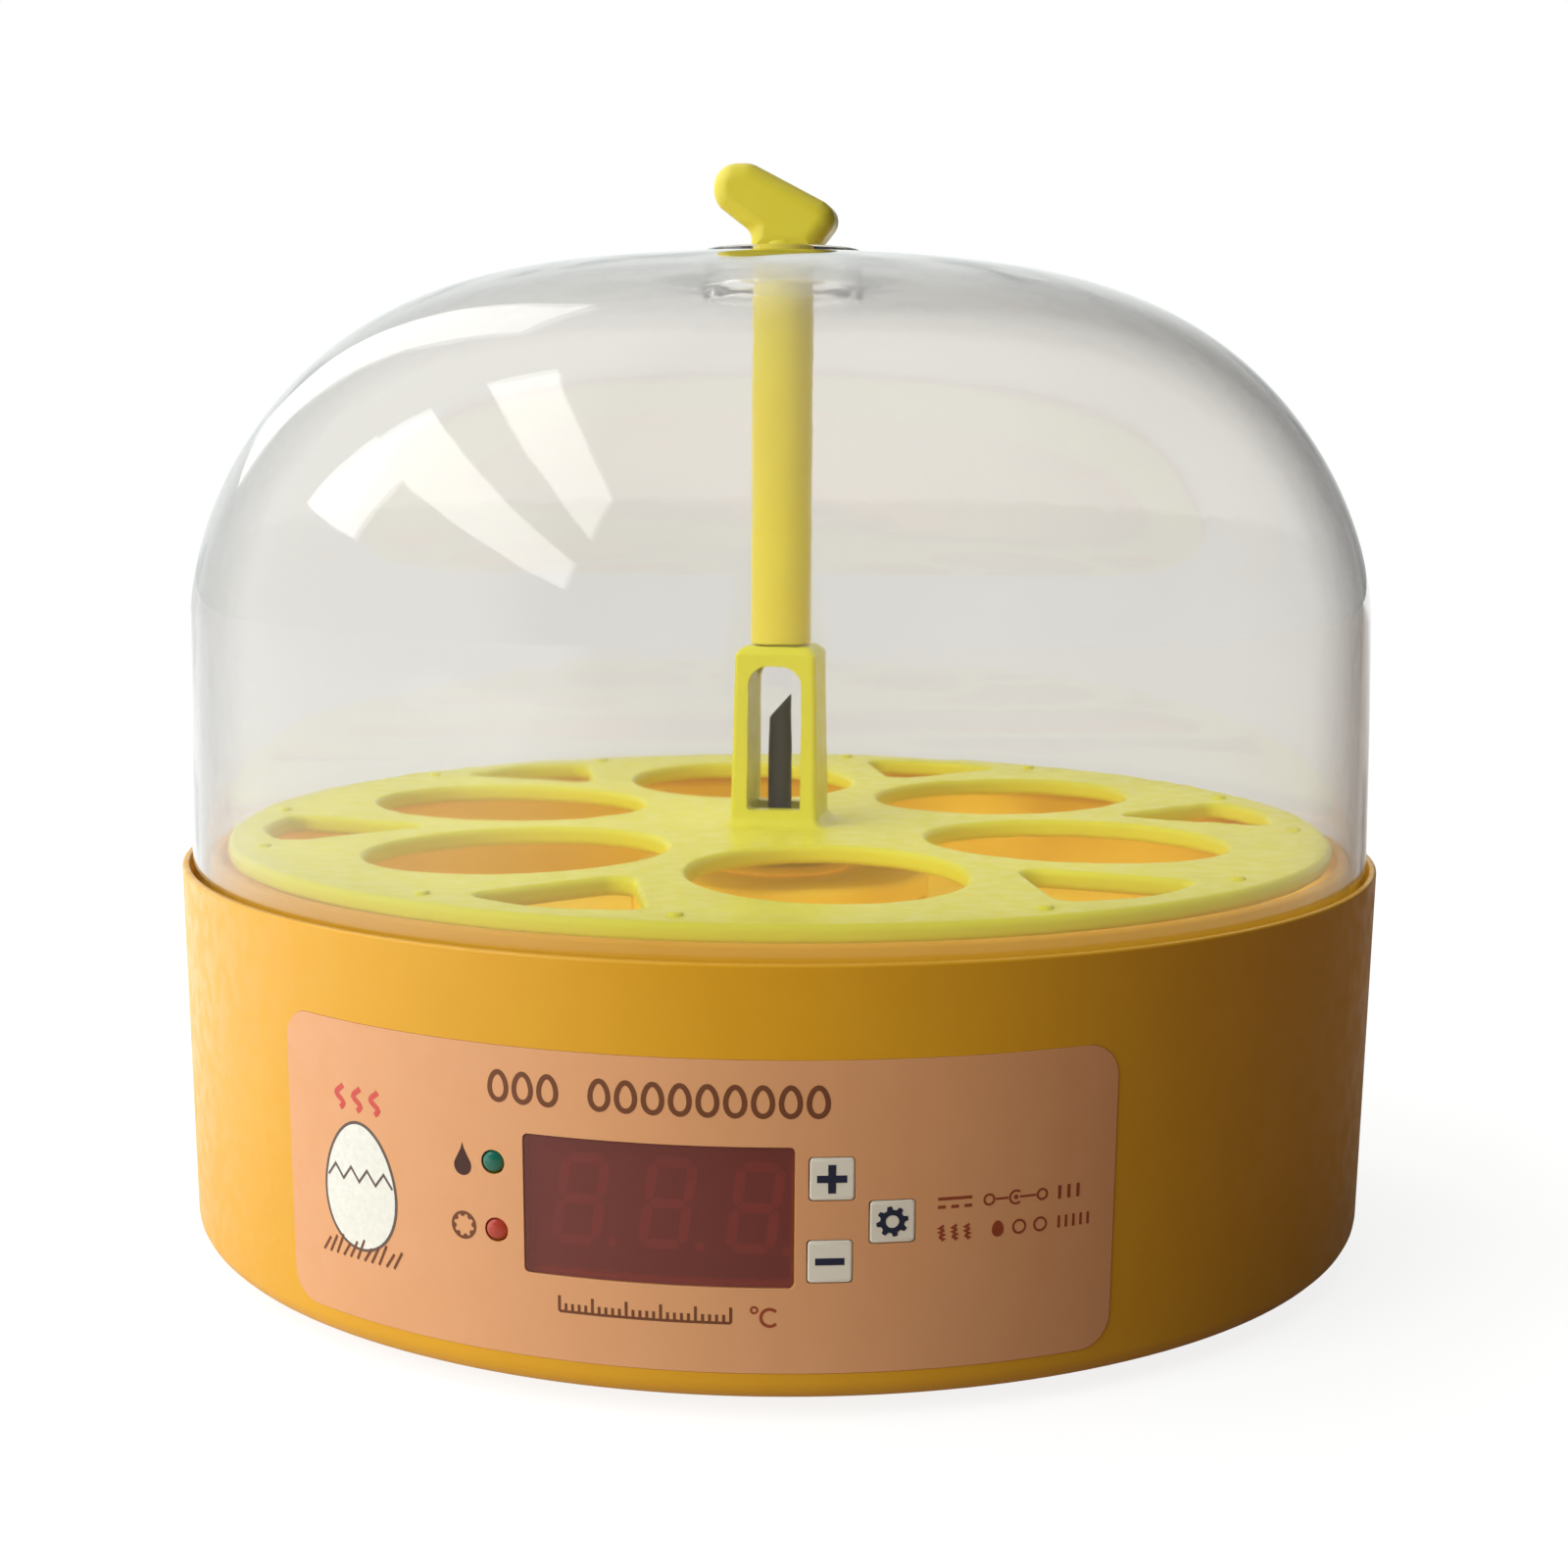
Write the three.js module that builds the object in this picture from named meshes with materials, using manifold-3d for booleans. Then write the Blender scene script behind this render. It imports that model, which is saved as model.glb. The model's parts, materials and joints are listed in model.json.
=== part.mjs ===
// A small round egg incubator.
//
// A yellow base carries the water pan, fan, heating ring and control board. An egg tray with a
// handle turns on the pan's centre spigot, and a clear dome closes the chamber.
//
// Millimetres, +Z up. The origin is on the ground under the centre; the control panel faces -Y.

import * as THREE from 'three';
import { mergeVertices } from 'three/addons/utils/BufferGeometryUtils.js';
import Module from 'manifold-3d';

const wasm = await Module();
wasm.setup();

// ---------------------------------------------------------------- driving dimensions

const GAP = 0.3; // clearance between separate pieces
const ROUND = { large: 48, middle: 24, small: 12, tiny: 8 }; // facets of a round piece, by its size

const BASE = {
  bottom: 2.5, // underside, held up by the feet
  bottomRadius: 103.7,
  rim: 66,
  rimRadius: 105,
  faceRadius: 104.4, // mean radius of the wall, on which arc lengths are measured
  innerRadius: 100.9,
  ledge: 59.6, // the water pan hangs on this ledge
  ledgeRadius: 99.6,
  grooveRadius: 103.8, // inside of the rim, round the dome
};

const COVER = { radius: 100, thickness: 2.2, screwReach: 57, boss: 7.5 };

const FOOT = { radius: 6, height: 3.2, x: 74, y: 46 };

const PAN = {
  floor: 48,
  sheet: 2, // thickness of its floor
  flangeRadius: 103.4,
  flangeTop: 61.9,
  collarTop: 67, // ring that stands inside the dome
  troughInner: 85.5,
  troughOuter: 96.2,
  troughFloor: 43.4,
};

const TURRET = { radius: 27, wall: 2, top: 62, spigotRadius: 8.2, spigotTop: 68, probeBore: 2.6 };

const AIR_WINDOW = { width: 8, low: 51, high: 58 };

const RING = { acrossFlats: 19, top: 68.1, flangeRadius: 12.6, flangeBottom: 62.3, flangeTop: 63.6 };

const TRAY = {
  radius: 97.35,
  top: 70.2,
  thickness: 3.2,
  bossRadius: 14,
  holeReach: 55, // from the axis to the middle of an egg hole
  holeRadial: 26, // half length, along the radius
  holeAcross: 22, // half width
  holeCount: 6,
  holeTurn: 16.5, // degrees from the panel's centre line to the first hole
};

const POST = {
  baseSide: 15.6,
  topSide: 14.5,
  cavity: 9.6,
  sill: 73,
  windowTop: 98.6,
  shoulder: 100.4,
  top: 101.9,
};

const HANDLE = { radius: 5.35, tenon: 6.2, neck: 172, grip: 10.4, reach: 11.5, top: 185.7 };

const DOME = {
  edge: 62.2,
  edgeRadius: 103.3,
  wall: 1.6,
  shoulder: 108.8,
  shoulderRadius: 102.3,
  top: 169.2,
  crownPower: 0.581, // how quickly the shoulder turns in towards the crown
  risePower: 1.252,
  holeRadius: 12.6,
  collarTop: 171.5,
  collarFlare: 17.6,
  collarEnd: 163.6,
};

const FAN = { side: 40, height: 10, bore: 19, hub: 9, blade: 18.2, blades: 7, screwReach: 16 };

const HEATER = { radius: 22, wire: 1.5, height: 54 };

const PANEL = { width: 133, low: 7, high: 52.5, corner: 5, recess: 0.8, film: 0.4 };

const DISPLAY = { arc: -1.3, height: 29.8, windowWidth: 39.2, windowHeight: 20.4, width: 37.6, tall: 19 };

const BUTTON = { side: 6.2, flange: 8.6, travel: 0.5 };
const BUTTONS = [
  { name: 'plus', arc: 23.5, height: 35.5 },
  { name: 'minus', arc: 23.3, height: 23.5 },
  { name: 'settings', arc: 32.1, height: 29.1 },
];

const LAMP = { radius: 2.1 };
const LAMPS = [
  { name: 'green', arc: -25.8, height: 35.2 },
  { name: 'red', arc: -25.4, height: 25.2 },
];

const BOARD = { front: -87, thickness: 1.6, width: 88, low: 10, high: 40.8, screwX: 39.5, screwZ: [14, 37] };

const JACK = { height: 22, wallOuter: 99, wallInner: 96.5, radius: 4, flange: 5.6 };

// ---------------------------------------------------------------- solids

/** The closed solid of a geometry: vertices merged, empty triangles dropped, faces turned outward. */
function solid(geometry) {
  const bare = new THREE.BufferGeometry();
  bare.setAttribute('position', geometry.attributes.position.clone());
  bare.setIndex(geometry.index);
  const merged = mergeVertices(bare, 1e-4);
  const points = merged.attributes.position.array;
  const index = merged.index.array;
  const triangles = [];
  for (let i = 0; i < index.length; i += 3) {
    const [a, b, c] = index.subarray(i, i + 3);
    if (a !== b && b !== c && c !== a) triangles.push(a, b, c);
  }
  if (volume(points, triangles) < 0) triangles.reverse();
  const mesh = new wasm.Mesh({
    numProp: 3,
    vertProperties: new Float32Array(points),
    triVerts: Uint32Array.from(triangles),
  });
  return new wasm.Manifold(mesh);
}

/** Signed volume of a triangle mesh, positive when its faces point out. */
function volume(points, triangles) {
  const corner = (i) => new THREE.Vector3().fromArray(points, 3 * triangles[i]);
  let sum = 0;
  for (let i = 0; i < triangles.length; i += 3) {
    sum += corner(i).dot(corner(i + 1).cross(corner(i + 2))) / 6;
  }
  return sum;
}

/** A box between two corners. */
function block([x0, y0, z0], [x1, y1, z1]) {
  const geometry = new THREE.BoxGeometry(x1 - x0, y1 - y0, z1 - z0);
  return solid(geometry.translate((x0 + x1) / 2, (y0 + y1) / 2, (z0 + z1) / 2));
}

/** A solid turned round the Z axis from [radius, height] points, which close on themselves. */
function turned(profile, sides = ROUND.middle) {
  const closed = [...profile, profile[0]].map(([r, z]) => new THREE.Vector2(r, z));
  return solid(new THREE.LatheGeometry(closed, sides).rotateX(Math.PI / 2));
}

/** An upright rod. */
function rod(radius, low, high, x = 0, y = 0, sides = ROUND.small) {
  const geometry = new THREE.CylinderGeometry(radius, radius, high - low, sides);
  return solid(geometry.rotateX(Math.PI / 2).translate(x, y, (low + high) / 2));
}

/** A rod along Y, between two places on it. */
function rodAlongY(radius, near, far, x = 0, z = 0, sides = ROUND.small) {
  const geometry = new THREE.CylinderGeometry(radius, radius, far - near, sides);
  return solid(geometry.translate(x, (near + far) / 2, z));
}

/** An upright prism with flat sides parallel to X and Y, from one square to another. */
function taperedSquare(sideLow, sideHigh, low, high) {
  const geometry = new THREE.CylinderGeometry(sideHigh / Math.SQRT2, sideLow / Math.SQRT2, high - low, 4);
  return solid(geometry.rotateY(Math.PI / 4).rotateX(Math.PI / 2).translate(0, 0, (low + high) / 2));
}

/** An upright hexagonal prism, measured across its flats. */
function hexagon(acrossFlats, low, high) {
  return rod(acrossFlats / Math.sqrt(3), low, high, 0, 0, 6);
}

/** A flat outline raised between two heights. */
function raised(shape, low, high, curveSegments = 6) {
  const options = { depth: high - low, bevelEnabled: false, curveSegments };
  const geometry = new THREE.ExtrudeGeometry(shape, options);
  return solid(geometry.translate(0, 0, low));
}

/** A solid turned round the Z axis by degrees. */
const spun = (body, degrees) => body.rotate([0, 0, degrees]);

/** Several solids joined into one. */
const joined = (...bodies) => bodies.reduce((sum, body) => sum.add(body));

/** A solid with others cut out of it. */
const cut = (body, ...tools) => tools.reduce((rest, tool) => rest.subtract(tool), body);

/** Copies of one solid at equal steps round the Z axis. */
function around(body, count, start = 0) {
  const copies = Array.from({ length: count }, (_, i) => spun(body, start + (360 * i) / count));
  return joined(...copies);
}

/** The same solid at the four corners [+-reach, +-reach]. */
const CORNERS = [[-1, -1], [1, -1], [1, 1], [-1, 1]];
const atCorners = (body, reach) =>
  joined(...CORNERS.map(([x, y]) => body.translate([x * reach, y * reach, 0])));

/** Outer radius of the base wall at a height: the wall leans out a little towards its rim. */
function wallRadius(z) {
  const share = (z - BASE.bottom) / (BASE.rim - BASE.bottom);
  return THREE.MathUtils.lerp(BASE.bottomRadius, BASE.rimRadius, share);
}

/** Places along a slab's arc, with how far its top and bottom edges are drawn in there. */
function slabColumns(width, corner) {
  const step = 9;
  const flat = width - 2 * corner;
  const count = Math.max(1, Math.round(flat / step));
  const middle = Array.from({ length: count + 1 }, (_, i) => ({ s: flat * (i / count - 0.5), inset: 0 }));
  if (corner === 0) return middle;
  const left = [0, 30, 60].map((degrees) => {
    const angle = THREE.MathUtils.degToRad(degrees);
    return { s: -width / 2 + corner * (1 - Math.cos(angle)), inset: corner * (1 - Math.sin(angle)) };
  });
  const right = left.map(({ s, inset }) => ({ s: -s, inset })).reverse();
  return [...left, ...middle, ...right];
}

/** A slab that follows the base wall, between two depths below the wall's outer face. */
function wallSlab({ arc = 0, width, low, high, corner = 0 }, outer, inner) {
  const columns = slabColumns(width, corner);
  const points = columns.flatMap(({ s, inset }) => {
    const angle = (arc + s) / BASE.faceRadius;
    const foot = low + inset;
    const head = high - inset;
    const section = [[foot, outer], [head, outer], [head, inner], [foot, inner]];
    return section.flatMap(([z, depth]) => {
      const radius = wallRadius(z) - depth;
      return [radius * Math.sin(angle), -radius * Math.cos(angle), z];
    });
  });
  const index = [0, 1, 2, 0, 2, 3];
  for (let first = 0; first < 4 * (columns.length - 1); first += 4) {
    for (let k = 0; k < 4; k += 1) {
      const a = first + k;
      const b = first + ((k + 1) % 4);
      index.push(a, a + 4, b, b, a + 4, b + 4);
    }
  }
  const last = 4 * (columns.length - 1);
  index.push(last, last + 2, last + 1, last, last + 3, last + 2);
  const geometry = new THREE.BufferGeometry();
  geometry.setAttribute('position', new THREE.Float32BufferAttribute(points, 3));
  geometry.setIndex(index);
  return solid(geometry);
}

/** The point of the base wall's outer face at an arc length and a height, as [x, y]. */
function onWall(arc, height) {
  const angle = arc / BASE.faceRadius;
  const radius = wallRadius(height);
  return [radius * Math.sin(angle), -radius * Math.cos(angle)];
}

/** A closed tube along a smooth route. */
function tube(route, radius, steps) {
  const section = new THREE.Shape();
  section.absarc(0, 0, radius, 0, 2 * Math.PI);
  const extrudePath = new THREE.CatmullRomCurve3(route.map((p) => new THREE.Vector3(...p)));
  return solid(new THREE.ExtrudeGeometry(section, { steps, extrudePath, curveSegments: 3 }));
}

// ---------------------------------------------------------------- finishes

const finish = (color, roughness = 0.5, metalness = 0) =>
  new THREE.MeshStandardMaterial({ color, roughness, metalness });

const ORANGE_SHELL = finish(0xe0a63c, 0.45);
const LEMON = finish(0xdcd870, 0.4);
const CLEAR = new THREE.MeshStandardMaterial({
  color: 0xf2f2ee,
  roughness: 0.05,
  transparent: true,
  opacity: 0.3,
});
const FILM = finish(0xdba67a, 0.5);
const SMOKED = finish(0x5c2c2e, 0.15);
const KEY = finish(0xd5d8cf, 0.5);
const BLACK_PLASTIC = finish(0x26262a, 0.5);
const RUBBER = finish(0x3a3a3a, 0.85);
const STEEL = finish(0xb9bcc0, 0.35, 1);
const BOARD_GREEN = finish(0x2f6b45, 0.5);
const WHITE_PLASTIC = finish(0xe8e6df, 0.5);
const GREEN_LENS = finish(0x2f8f6a, 0.2);
const RED_LENS = finish(0xc4473a, 0.2);
const HEATER_SLEEVE = finish(0xb4482c, 0.7);
const LEAD_RED = finish(0xa83228, 0.6);
const LEAD_BLACK = finish(0x222222, 0.6);

/** A named mesh of a solid, placed in its parent. */
function part(name, body, material, position = [0, 0, 0], rotation = [0, 0, 0]) {
  const { vertProperties, triVerts } = body.getMesh();
  const geometry = new THREE.BufferGeometry();
  geometry.setAttribute('position', new THREE.Float32BufferAttribute(vertProperties, 3));
  geometry.setIndex(Array.from(triVerts));
  const mesh = new THREE.Mesh(geometry, material);
  mesh.name = name;
  mesh.position.set(...position);
  mesh.rotation.set(...rotation);
  return mesh;
}

function group(...children) {
  const made = new THREE.Group();
  made.add(...children);
  return made;
}

/** A pan-head screw that points up: its head's underside is at height 0. */
function screw(shank, length, head = 2 * shank) {
  const headHeight = 1.3 * shank;
  return turned([
    [0, -headHeight],
    [0.75 * head, -headHeight],
    [head, -0.5 * headHeight],
    [head, 0],
    [shank, 0],
    [shank, length - shank],
    [0, length],
  ], ROUND.tiny);
}

// ---------------------------------------------------------------- base shell

const displayArea = (grow, corner = 0.8) => ({
  arc: DISPLAY.arc,
  width: DISPLAY.windowWidth + 2 * grow,
  low: DISPLAY.height - DISPLAY.windowHeight / 2 - grow,
  high: DISPLAY.height + DISPLAY.windowHeight / 2 + grow,
  corner,
});

const panelArea = (grow) => ({
  width: PANEL.width + 2 * grow,
  low: PANEL.low - grow,
  high: PANEL.high + grow,
  corner: PANEL.corner + grow,
});

/** Square passage for a button and round passage for a lamp, straight through the wall along Y. */
function controlPassages(grow) {
  const near = -BASE.rimRadius - 1;
  const far = BOARD.front - 5;
  const squares = BUTTONS.map(({ arc, height }) => {
    const [x] = onWall(arc, height);
    const half = BUTTON.side / 2 + grow;
    return block([x - half, near, height - half], [x + half, far, height + half]);
  });
  const rounds = LAMPS.map(({ arc, height }) => {
    const [x] = onWall(arc, height);
    return rodAlongY(LAMP.radius + grow, near, far, x, height);
  });
  return joined(...squares, ...rounds);
}

function baseShell() {
  const { bottom, rim, rimRadius, innerRadius, ledge, ledgeRadius, grooveRadius } = BASE;
  const coverSeat = bottom + COVER.thickness + GAP;
  const wall = turned([
    [COVER.radius + GAP, bottom],
    [101.9, bottom],
    [103.1, bottom + 0.9],
    [wallRadius(6), 6],
    [wallRadius(rim - 1.4), rim - 1.4],
    [rimRadius - 0.5, rim],
    [grooveRadius + 0.3, rim],
    [grooveRadius, rim - 0.7],
    [grooveRadius, ledge],
    [ledgeRadius, ledge],
    [ledgeRadius, ledge - 2],
    [innerRadius, ledge - 4],
    [innerRadius, coverSeat + 3.5],
    [COVER.radius - 1.4, coverSeat + 1.6],
    [COVER.radius - 1.4, coverSeat],
    [COVER.radius + GAP, coverSeat],
  ], ROUND.large);

  // The supply inlet sits in a flat pocket at the back.
  const pocketHalf = 10;
  const pocket = block(
    [-pocketHalf, JACK.wallOuter, JACK.height - 9],
    [pocketHalf, rimRadius + 1, JACK.height + 9],
  );
  const pocketWalls = block(
    [-pocketHalf - 2, JACK.wallInner, JACK.height - 11],
    [pocketHalf + 2, BASE.bottomRadius - 1.5, JACK.height + 11],
  );
  return cut(
    wall.add(pocketWalls),
    pocket,
    rodAlongY(JACK.radius + GAP, JACK.wallInner - 1, JACK.wallOuter + 1, 0, JACK.height),
    wallSlab(panelArea(GAP), -1, PANEL.recess),
    wallSlab(displayArea(GAP), PANEL.recess - 0.5, 2.2),
    wallSlab(displayArea(-1.4), 1.5, 6),
    controlPassages(GAP + 0.1),
  );
}

function bottomCover() {
  const { bottom } = BASE;
  const top = bottom + COVER.thickness;
  const post = (side) =>
    block(
      [side * BOARD.screwX - 3.5, BOARD.front + BOARD.thickness + GAP, top - 0.5],
      [side * BOARD.screwX + 3.5, BOARD.front + BOARD.thickness + 6, BOARD.high - 0.5],
    );
  const plate = joined(
    rod(COVER.radius, bottom, top, 0, 0, ROUND.large),
    atCorners(rod(5.2, bottom, COVER.boss), COVER.screwReach),
    post(-1),
    post(1),
  );
  const boardScrews = [-1, 1].flatMap((side) =>
    BOARD.screwZ.map((z) =>
      rodAlongY(1.35, BOARD.front, BOARD.front + 8, side * BOARD.screwX, z, ROUND.tiny),
    ),
  );
  const airSlot = block([8, -1.5, bottom - 1], [22, 1.5, top + 1]);
  return cut(
    plate,
    atCorners(rod(1.8, bottom - 1, COVER.boss + 1, 0, 0, ROUND.tiny), COVER.screwReach),
    atCorners(rod(3.5, bottom - 1, bottom + 3), COVER.screwReach),
    ...CORNERS.map(([x, y]) =>
      rod(FOOT.radius + GAP, bottom - 1, FOOT.height + GAP, x * FOOT.x, y * FOOT.y, 16),
    ),
    around(airSlot, 10),
    ...boardScrews,
  );
}

function feet() {
  const { radius, height } = FOOT;
  const body = turned([[0, 0], [radius - 0.7, 0], [radius, 0.7], [radius, height], [0, height]], 16);
  const places = ['front_left', 'front_right', 'rear_right', 'rear_left'];
  return CORNERS.map(([x, y], i) =>
    part(`foot_${places[i]}`, body, RUBBER, [x * FOOT.x, y * FOOT.y, 0]),
  );
}

function coverScrews() {
  const seat = BASE.bottom + 3 - GAP;
  const body = screw(1.45, 16, 2.9);
  return CORNERS.map(([x, y], i) =>
    part(`cover_screw_${i + 1}`, body, STEEL, [x * COVER.screwReach, y * COVER.screwReach, seat + GAP]),
  );
}

// ---------------------------------------------------------------- water pan

function waterPan() {
  const { floor, sheet, flangeRadius, flangeTop, collarTop, troughInner, troughOuter, troughFloor } = PAN;
  const dish = turned([
    [FAN.bore + 0.2, floor - sheet],
    [troughInner - 2, floor - sheet],
    [troughInner - 1.8, troughFloor - sheet],
    [troughOuter + 1.4, troughFloor - sheet],
    [98.2, troughFloor - 0.6],
    [98.8, 52],
    [BASE.ledgeRadius - GAP, BASE.ledge + GAP],
    [flangeRadius, BASE.ledge + GAP],
    [flangeRadius, flangeTop],
    [100.7, flangeTop],
    [100.4, collarTop - 0.5],
    [99.9, collarTop],
    [99, collarTop],
    [98.5, collarTop - 0.5],
    [98.1, 60],
    [troughOuter + 0.4, 52],
    [troughOuter, troughFloor + 1.4],
    [troughOuter - 1.4, troughFloor],
    [troughInner + 1.4, troughFloor],
    [troughInner, troughFloor + 1.4],
    [troughInner - 0.2, floor],
    [FAN.bore + 0.2, floor],
  ], ROUND.large);

  const fanBoss = rod(3, floor - 0.5, HEATER.height - HEATER.wire - GAP, 0, 0, ROUND.tiny);
  const fanBosses = atCorners(fanBoss, FAN.screwReach);
  const coverPosts = atCorners(rod(3.6, COVER.boss + GAP, floor - 0.5), COVER.screwReach);
  return cut(
    joined(dish, fanBosses, coverPosts),
    atCorners(rod(1.8, COVER.boss - 1, COVER.boss + 14, 0, 0, ROUND.tiny), COVER.screwReach),
    atCorners(rod(1.8, floor - sheet - 1, floor + 3, 0, 0, ROUND.tiny), FAN.screwReach),
    rod(2.1, floor - sheet - 1, floor + 1, 0, -HEATER.radius - GAP, ROUND.tiny),
    rod(2.1, floor - sheet - 1, floor + 1, -HEATER.radius - GAP, 0, ROUND.tiny),
  );
}

/** The turret over the fan and heater: a ring wall with air windows, and the spigot for the tray's ring. */
function fanHousing() {
  const floor = PAN.floor + GAP;
  const ceiling = TURRET.top - TURRET.wall;
  const shell = turned([
    [TURRET.radius - TURRET.wall, floor],
    [TURRET.radius, floor],
    [TURRET.radius, TURRET.top],
    [TURRET.spigotRadius, TURRET.top],
    [TURRET.spigotRadius, TURRET.spigotTop],
    [TURRET.probeBore, TURRET.spigotTop],
    [TURRET.probeBore, ceiling],
    [TURRET.radius - TURRET.wall, ceiling],
  ], ROUND.middle);
  const { low, high, width } = AIR_WINDOW;
  const airWindow = block([TURRET.radius - 4, -width / 2, low], [TURRET.radius + 2, width / 2, high]);
  const bossRelief = rod(3 + GAP, floor - 1, HEATER.height, 0, 0, ROUND.tiny);
  return cut(shell, around(airWindow, 12, 15), atCorners(bossRelief, FAN.screwReach));
}

function heatingRing() {
  const profile = Array.from({ length: 6 }, (_, i) => {
    const angle = (Math.PI * i) / 3;
    return [HEATER.radius + HEATER.wire * Math.cos(angle), HEATER.height + HEATER.wire * Math.sin(angle)];
  });
  return turned(profile, ROUND.middle);
}

/** The sensor in the spigot: a black sleeve with a slanting tip, and a collar below the turret's top. */
function temperatureProbe() {
  const radius = 2.1;
  const tip = 94;
  const foot = TURRET.top - TURRET.wall - 2.6;
  const sleeve = joined(
    rod(radius, foot, tip, 0, 0, ROUND.small),
    rod(4, foot, TURRET.top - TURRET.wall - GAP, 0, 0, ROUND.small),
  );
  const slant = new THREE.BoxGeometry(12, 12, 8).translate(0, 0, 4);
  slant.rotateY(THREE.MathUtils.degToRad(-48)).translate(radius, 0, tip - 0.4);
  return cut(sleeve, solid(slant));
}

// ---------------------------------------------------------------- fan

const fanTop = PAN.floor - PAN.sheet - GAP;
const fanBottom = fanTop - FAN.height;

function fanFrame() {
  const half = FAN.side / 2;
  const spokes = around(block([0, -1.4, fanBottom], [FAN.bore + 0.5, 1.4, fanBottom + 1.6]), 4, 20);
  return joined(
    cut(
      block([-half, -half, fanBottom], [half, half, fanTop]),
      rod(FAN.bore, fanBottom - 1, fanTop + 1, 0, 0, ROUND.middle),
      atCorners(rod(1.9, fanBottom - 1, fanTop + 1, 0, 0, ROUND.tiny), FAN.screwReach),
    ),
    spokes,
    rod(FAN.hub - 0.5, fanBottom, fanBottom + 1.6, 0, 0, ROUND.small),
  );
}

function fanRotor() {
  const low = fanBottom + 2.2;
  const high = fanTop - 1;
  const blade = solid(
    new THREE.BoxGeometry(FAN.blade - FAN.hub + 1, 1, high - low)
      .rotateX(THREE.MathUtils.degToRad(40))
      .translate((FAN.blade + FAN.hub - 1) / 2, 0, (low + high) / 2),
  );
  const sweep = rod(FAN.blade, low, high, 0, 0, ROUND.middle);
  return around(blade, FAN.blades).intersect(sweep).add(rod(FAN.hub, low, high, 0, 0, ROUND.middle));
}

function fanScrews() {
  const body = screw(1.5, 15, 2.7);
  return CORNERS.map(([x, y], i) =>
    part(`fan_screw_${i + 1}`, body, STEEL, [x * FAN.screwReach, y * FAN.screwReach, fanBottom - GAP]),
  );
}

// ---------------------------------------------------------------- egg tray and its handle

/** Maps a place given across and along a radius, at an azimuth from -Y towards +X, to the XY plane. */
function radialPoint(azimuth, across, along) {
  const angle = THREE.MathUtils.degToRad(azimuth);
  const x = along * Math.sin(angle) + across * Math.cos(angle);
  const y = -along * Math.cos(angle) + across * Math.sin(angle);
  return [x, y];
}

function eggHole(azimuth) {
  const [x, y] = radialPoint(azimuth, 0, TRAY.holeReach);
  const angle = THREE.MathUtils.degToRad(azimuth - 90);
  return new THREE.Path().absellipse(x, y, TRAY.holeRadial, TRAY.holeAcross, 0, 2 * Math.PI, false, angle);
}

/** A rounded triangular window between two egg holes: its point is towards the axis. */
function triangleHole(azimuth) {
  const corners = [[0, 62], [14.5, 87.5], [0, 91.5], [-14.5, 87.5]];
  const ease = 0.3; // how far along each side its corners' curves start
  const path = new THREE.Path();
  corners.forEach(([across, along], i) => {
    const before = corners.at(i - 1);
    const after = corners[(i + 1) % corners.length];
    const toward = (end) => [across + (end[0] - across) * ease, along + (end[1] - along) * ease];
    const start = radialPoint(azimuth, ...toward(before));
    if (i === 0) path.moveTo(...start);
    else path.lineTo(...start);
    path.quadraticCurveTo(...radialPoint(azimuth, across, along), ...radialPoint(azimuth, ...toward(after)));
  });
  path.closePath();
  return path;
}

function eggTray() {
  const bottom = TRAY.top - TRAY.thickness;
  const rimPoints = Array.from({ length: ROUND.large }, (_, i) => {
    const [x, y] = radialPoint((360 * i) / ROUND.large, 0, TRAY.radius);
    return new THREE.Vector2(x, y);
  });
  const outline = new THREE.Shape(rimPoints);
  const step = 360 / TRAY.holeCount;
  for (let i = 0; i < TRAY.holeCount; i += 1) {
    outline.holes.push(eggHole(TRAY.holeTurn + i * step));
    outline.holes.push(triangleHole(TRAY.holeTurn + (i + 0.5) * step));
  }
  const plate = raised(outline, bottom, TRAY.top, 9);

  const boss = rod(TRAY.bossRadius, RING.flangeTop + GAP, TRAY.top - 0.5, 0, 0, ROUND.middle);
  const post = joined(
    taperedSquare(POST.baseSide, POST.topSide, TRAY.top - 1, POST.shoulder),
    taperedSquare(POST.topSide, POST.topSide - 3, POST.shoulder, POST.top),
  );
  const halfCavity = POST.cavity / 2;
  const window = block([-halfCavity, -10, POST.sill], [halfCavity, 10, POST.windowTop]);
  return cut(
    joined(plate, boss, post),
    hexagon(RING.acrossFlats + 2 * GAP, RING.flangeBottom, RING.top + GAP),
    rod(3.4, RING.top, POST.sill + 1, 0, 0, ROUND.small),
    block([-halfCavity, -halfCavity, TRAY.top + 1.2], [halfCavity, halfCavity, POST.windowTop]),
    window,
    taperedSquare(HANDLE.tenon + 2 * GAP, HANDLE.tenon + 2 * GAP, POST.windowTop - 1, POST.top + 1),
  );
}

/** Ring on the pan's spigot: the tray's six-sided socket sits over it and turns with it. */
function turningRing() {
  return cut(
    joined(
      hexagon(RING.acrossFlats, RING.flangeBottom, RING.top),
      rod(RING.flangeRadius, RING.flangeBottom, RING.flangeTop, 0, 0, ROUND.middle),
    ),
    rod(TURRET.spigotRadius + GAP, RING.flangeBottom - 1, RING.top + 1, 0, 0, ROUND.middle),
  );
}

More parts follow.
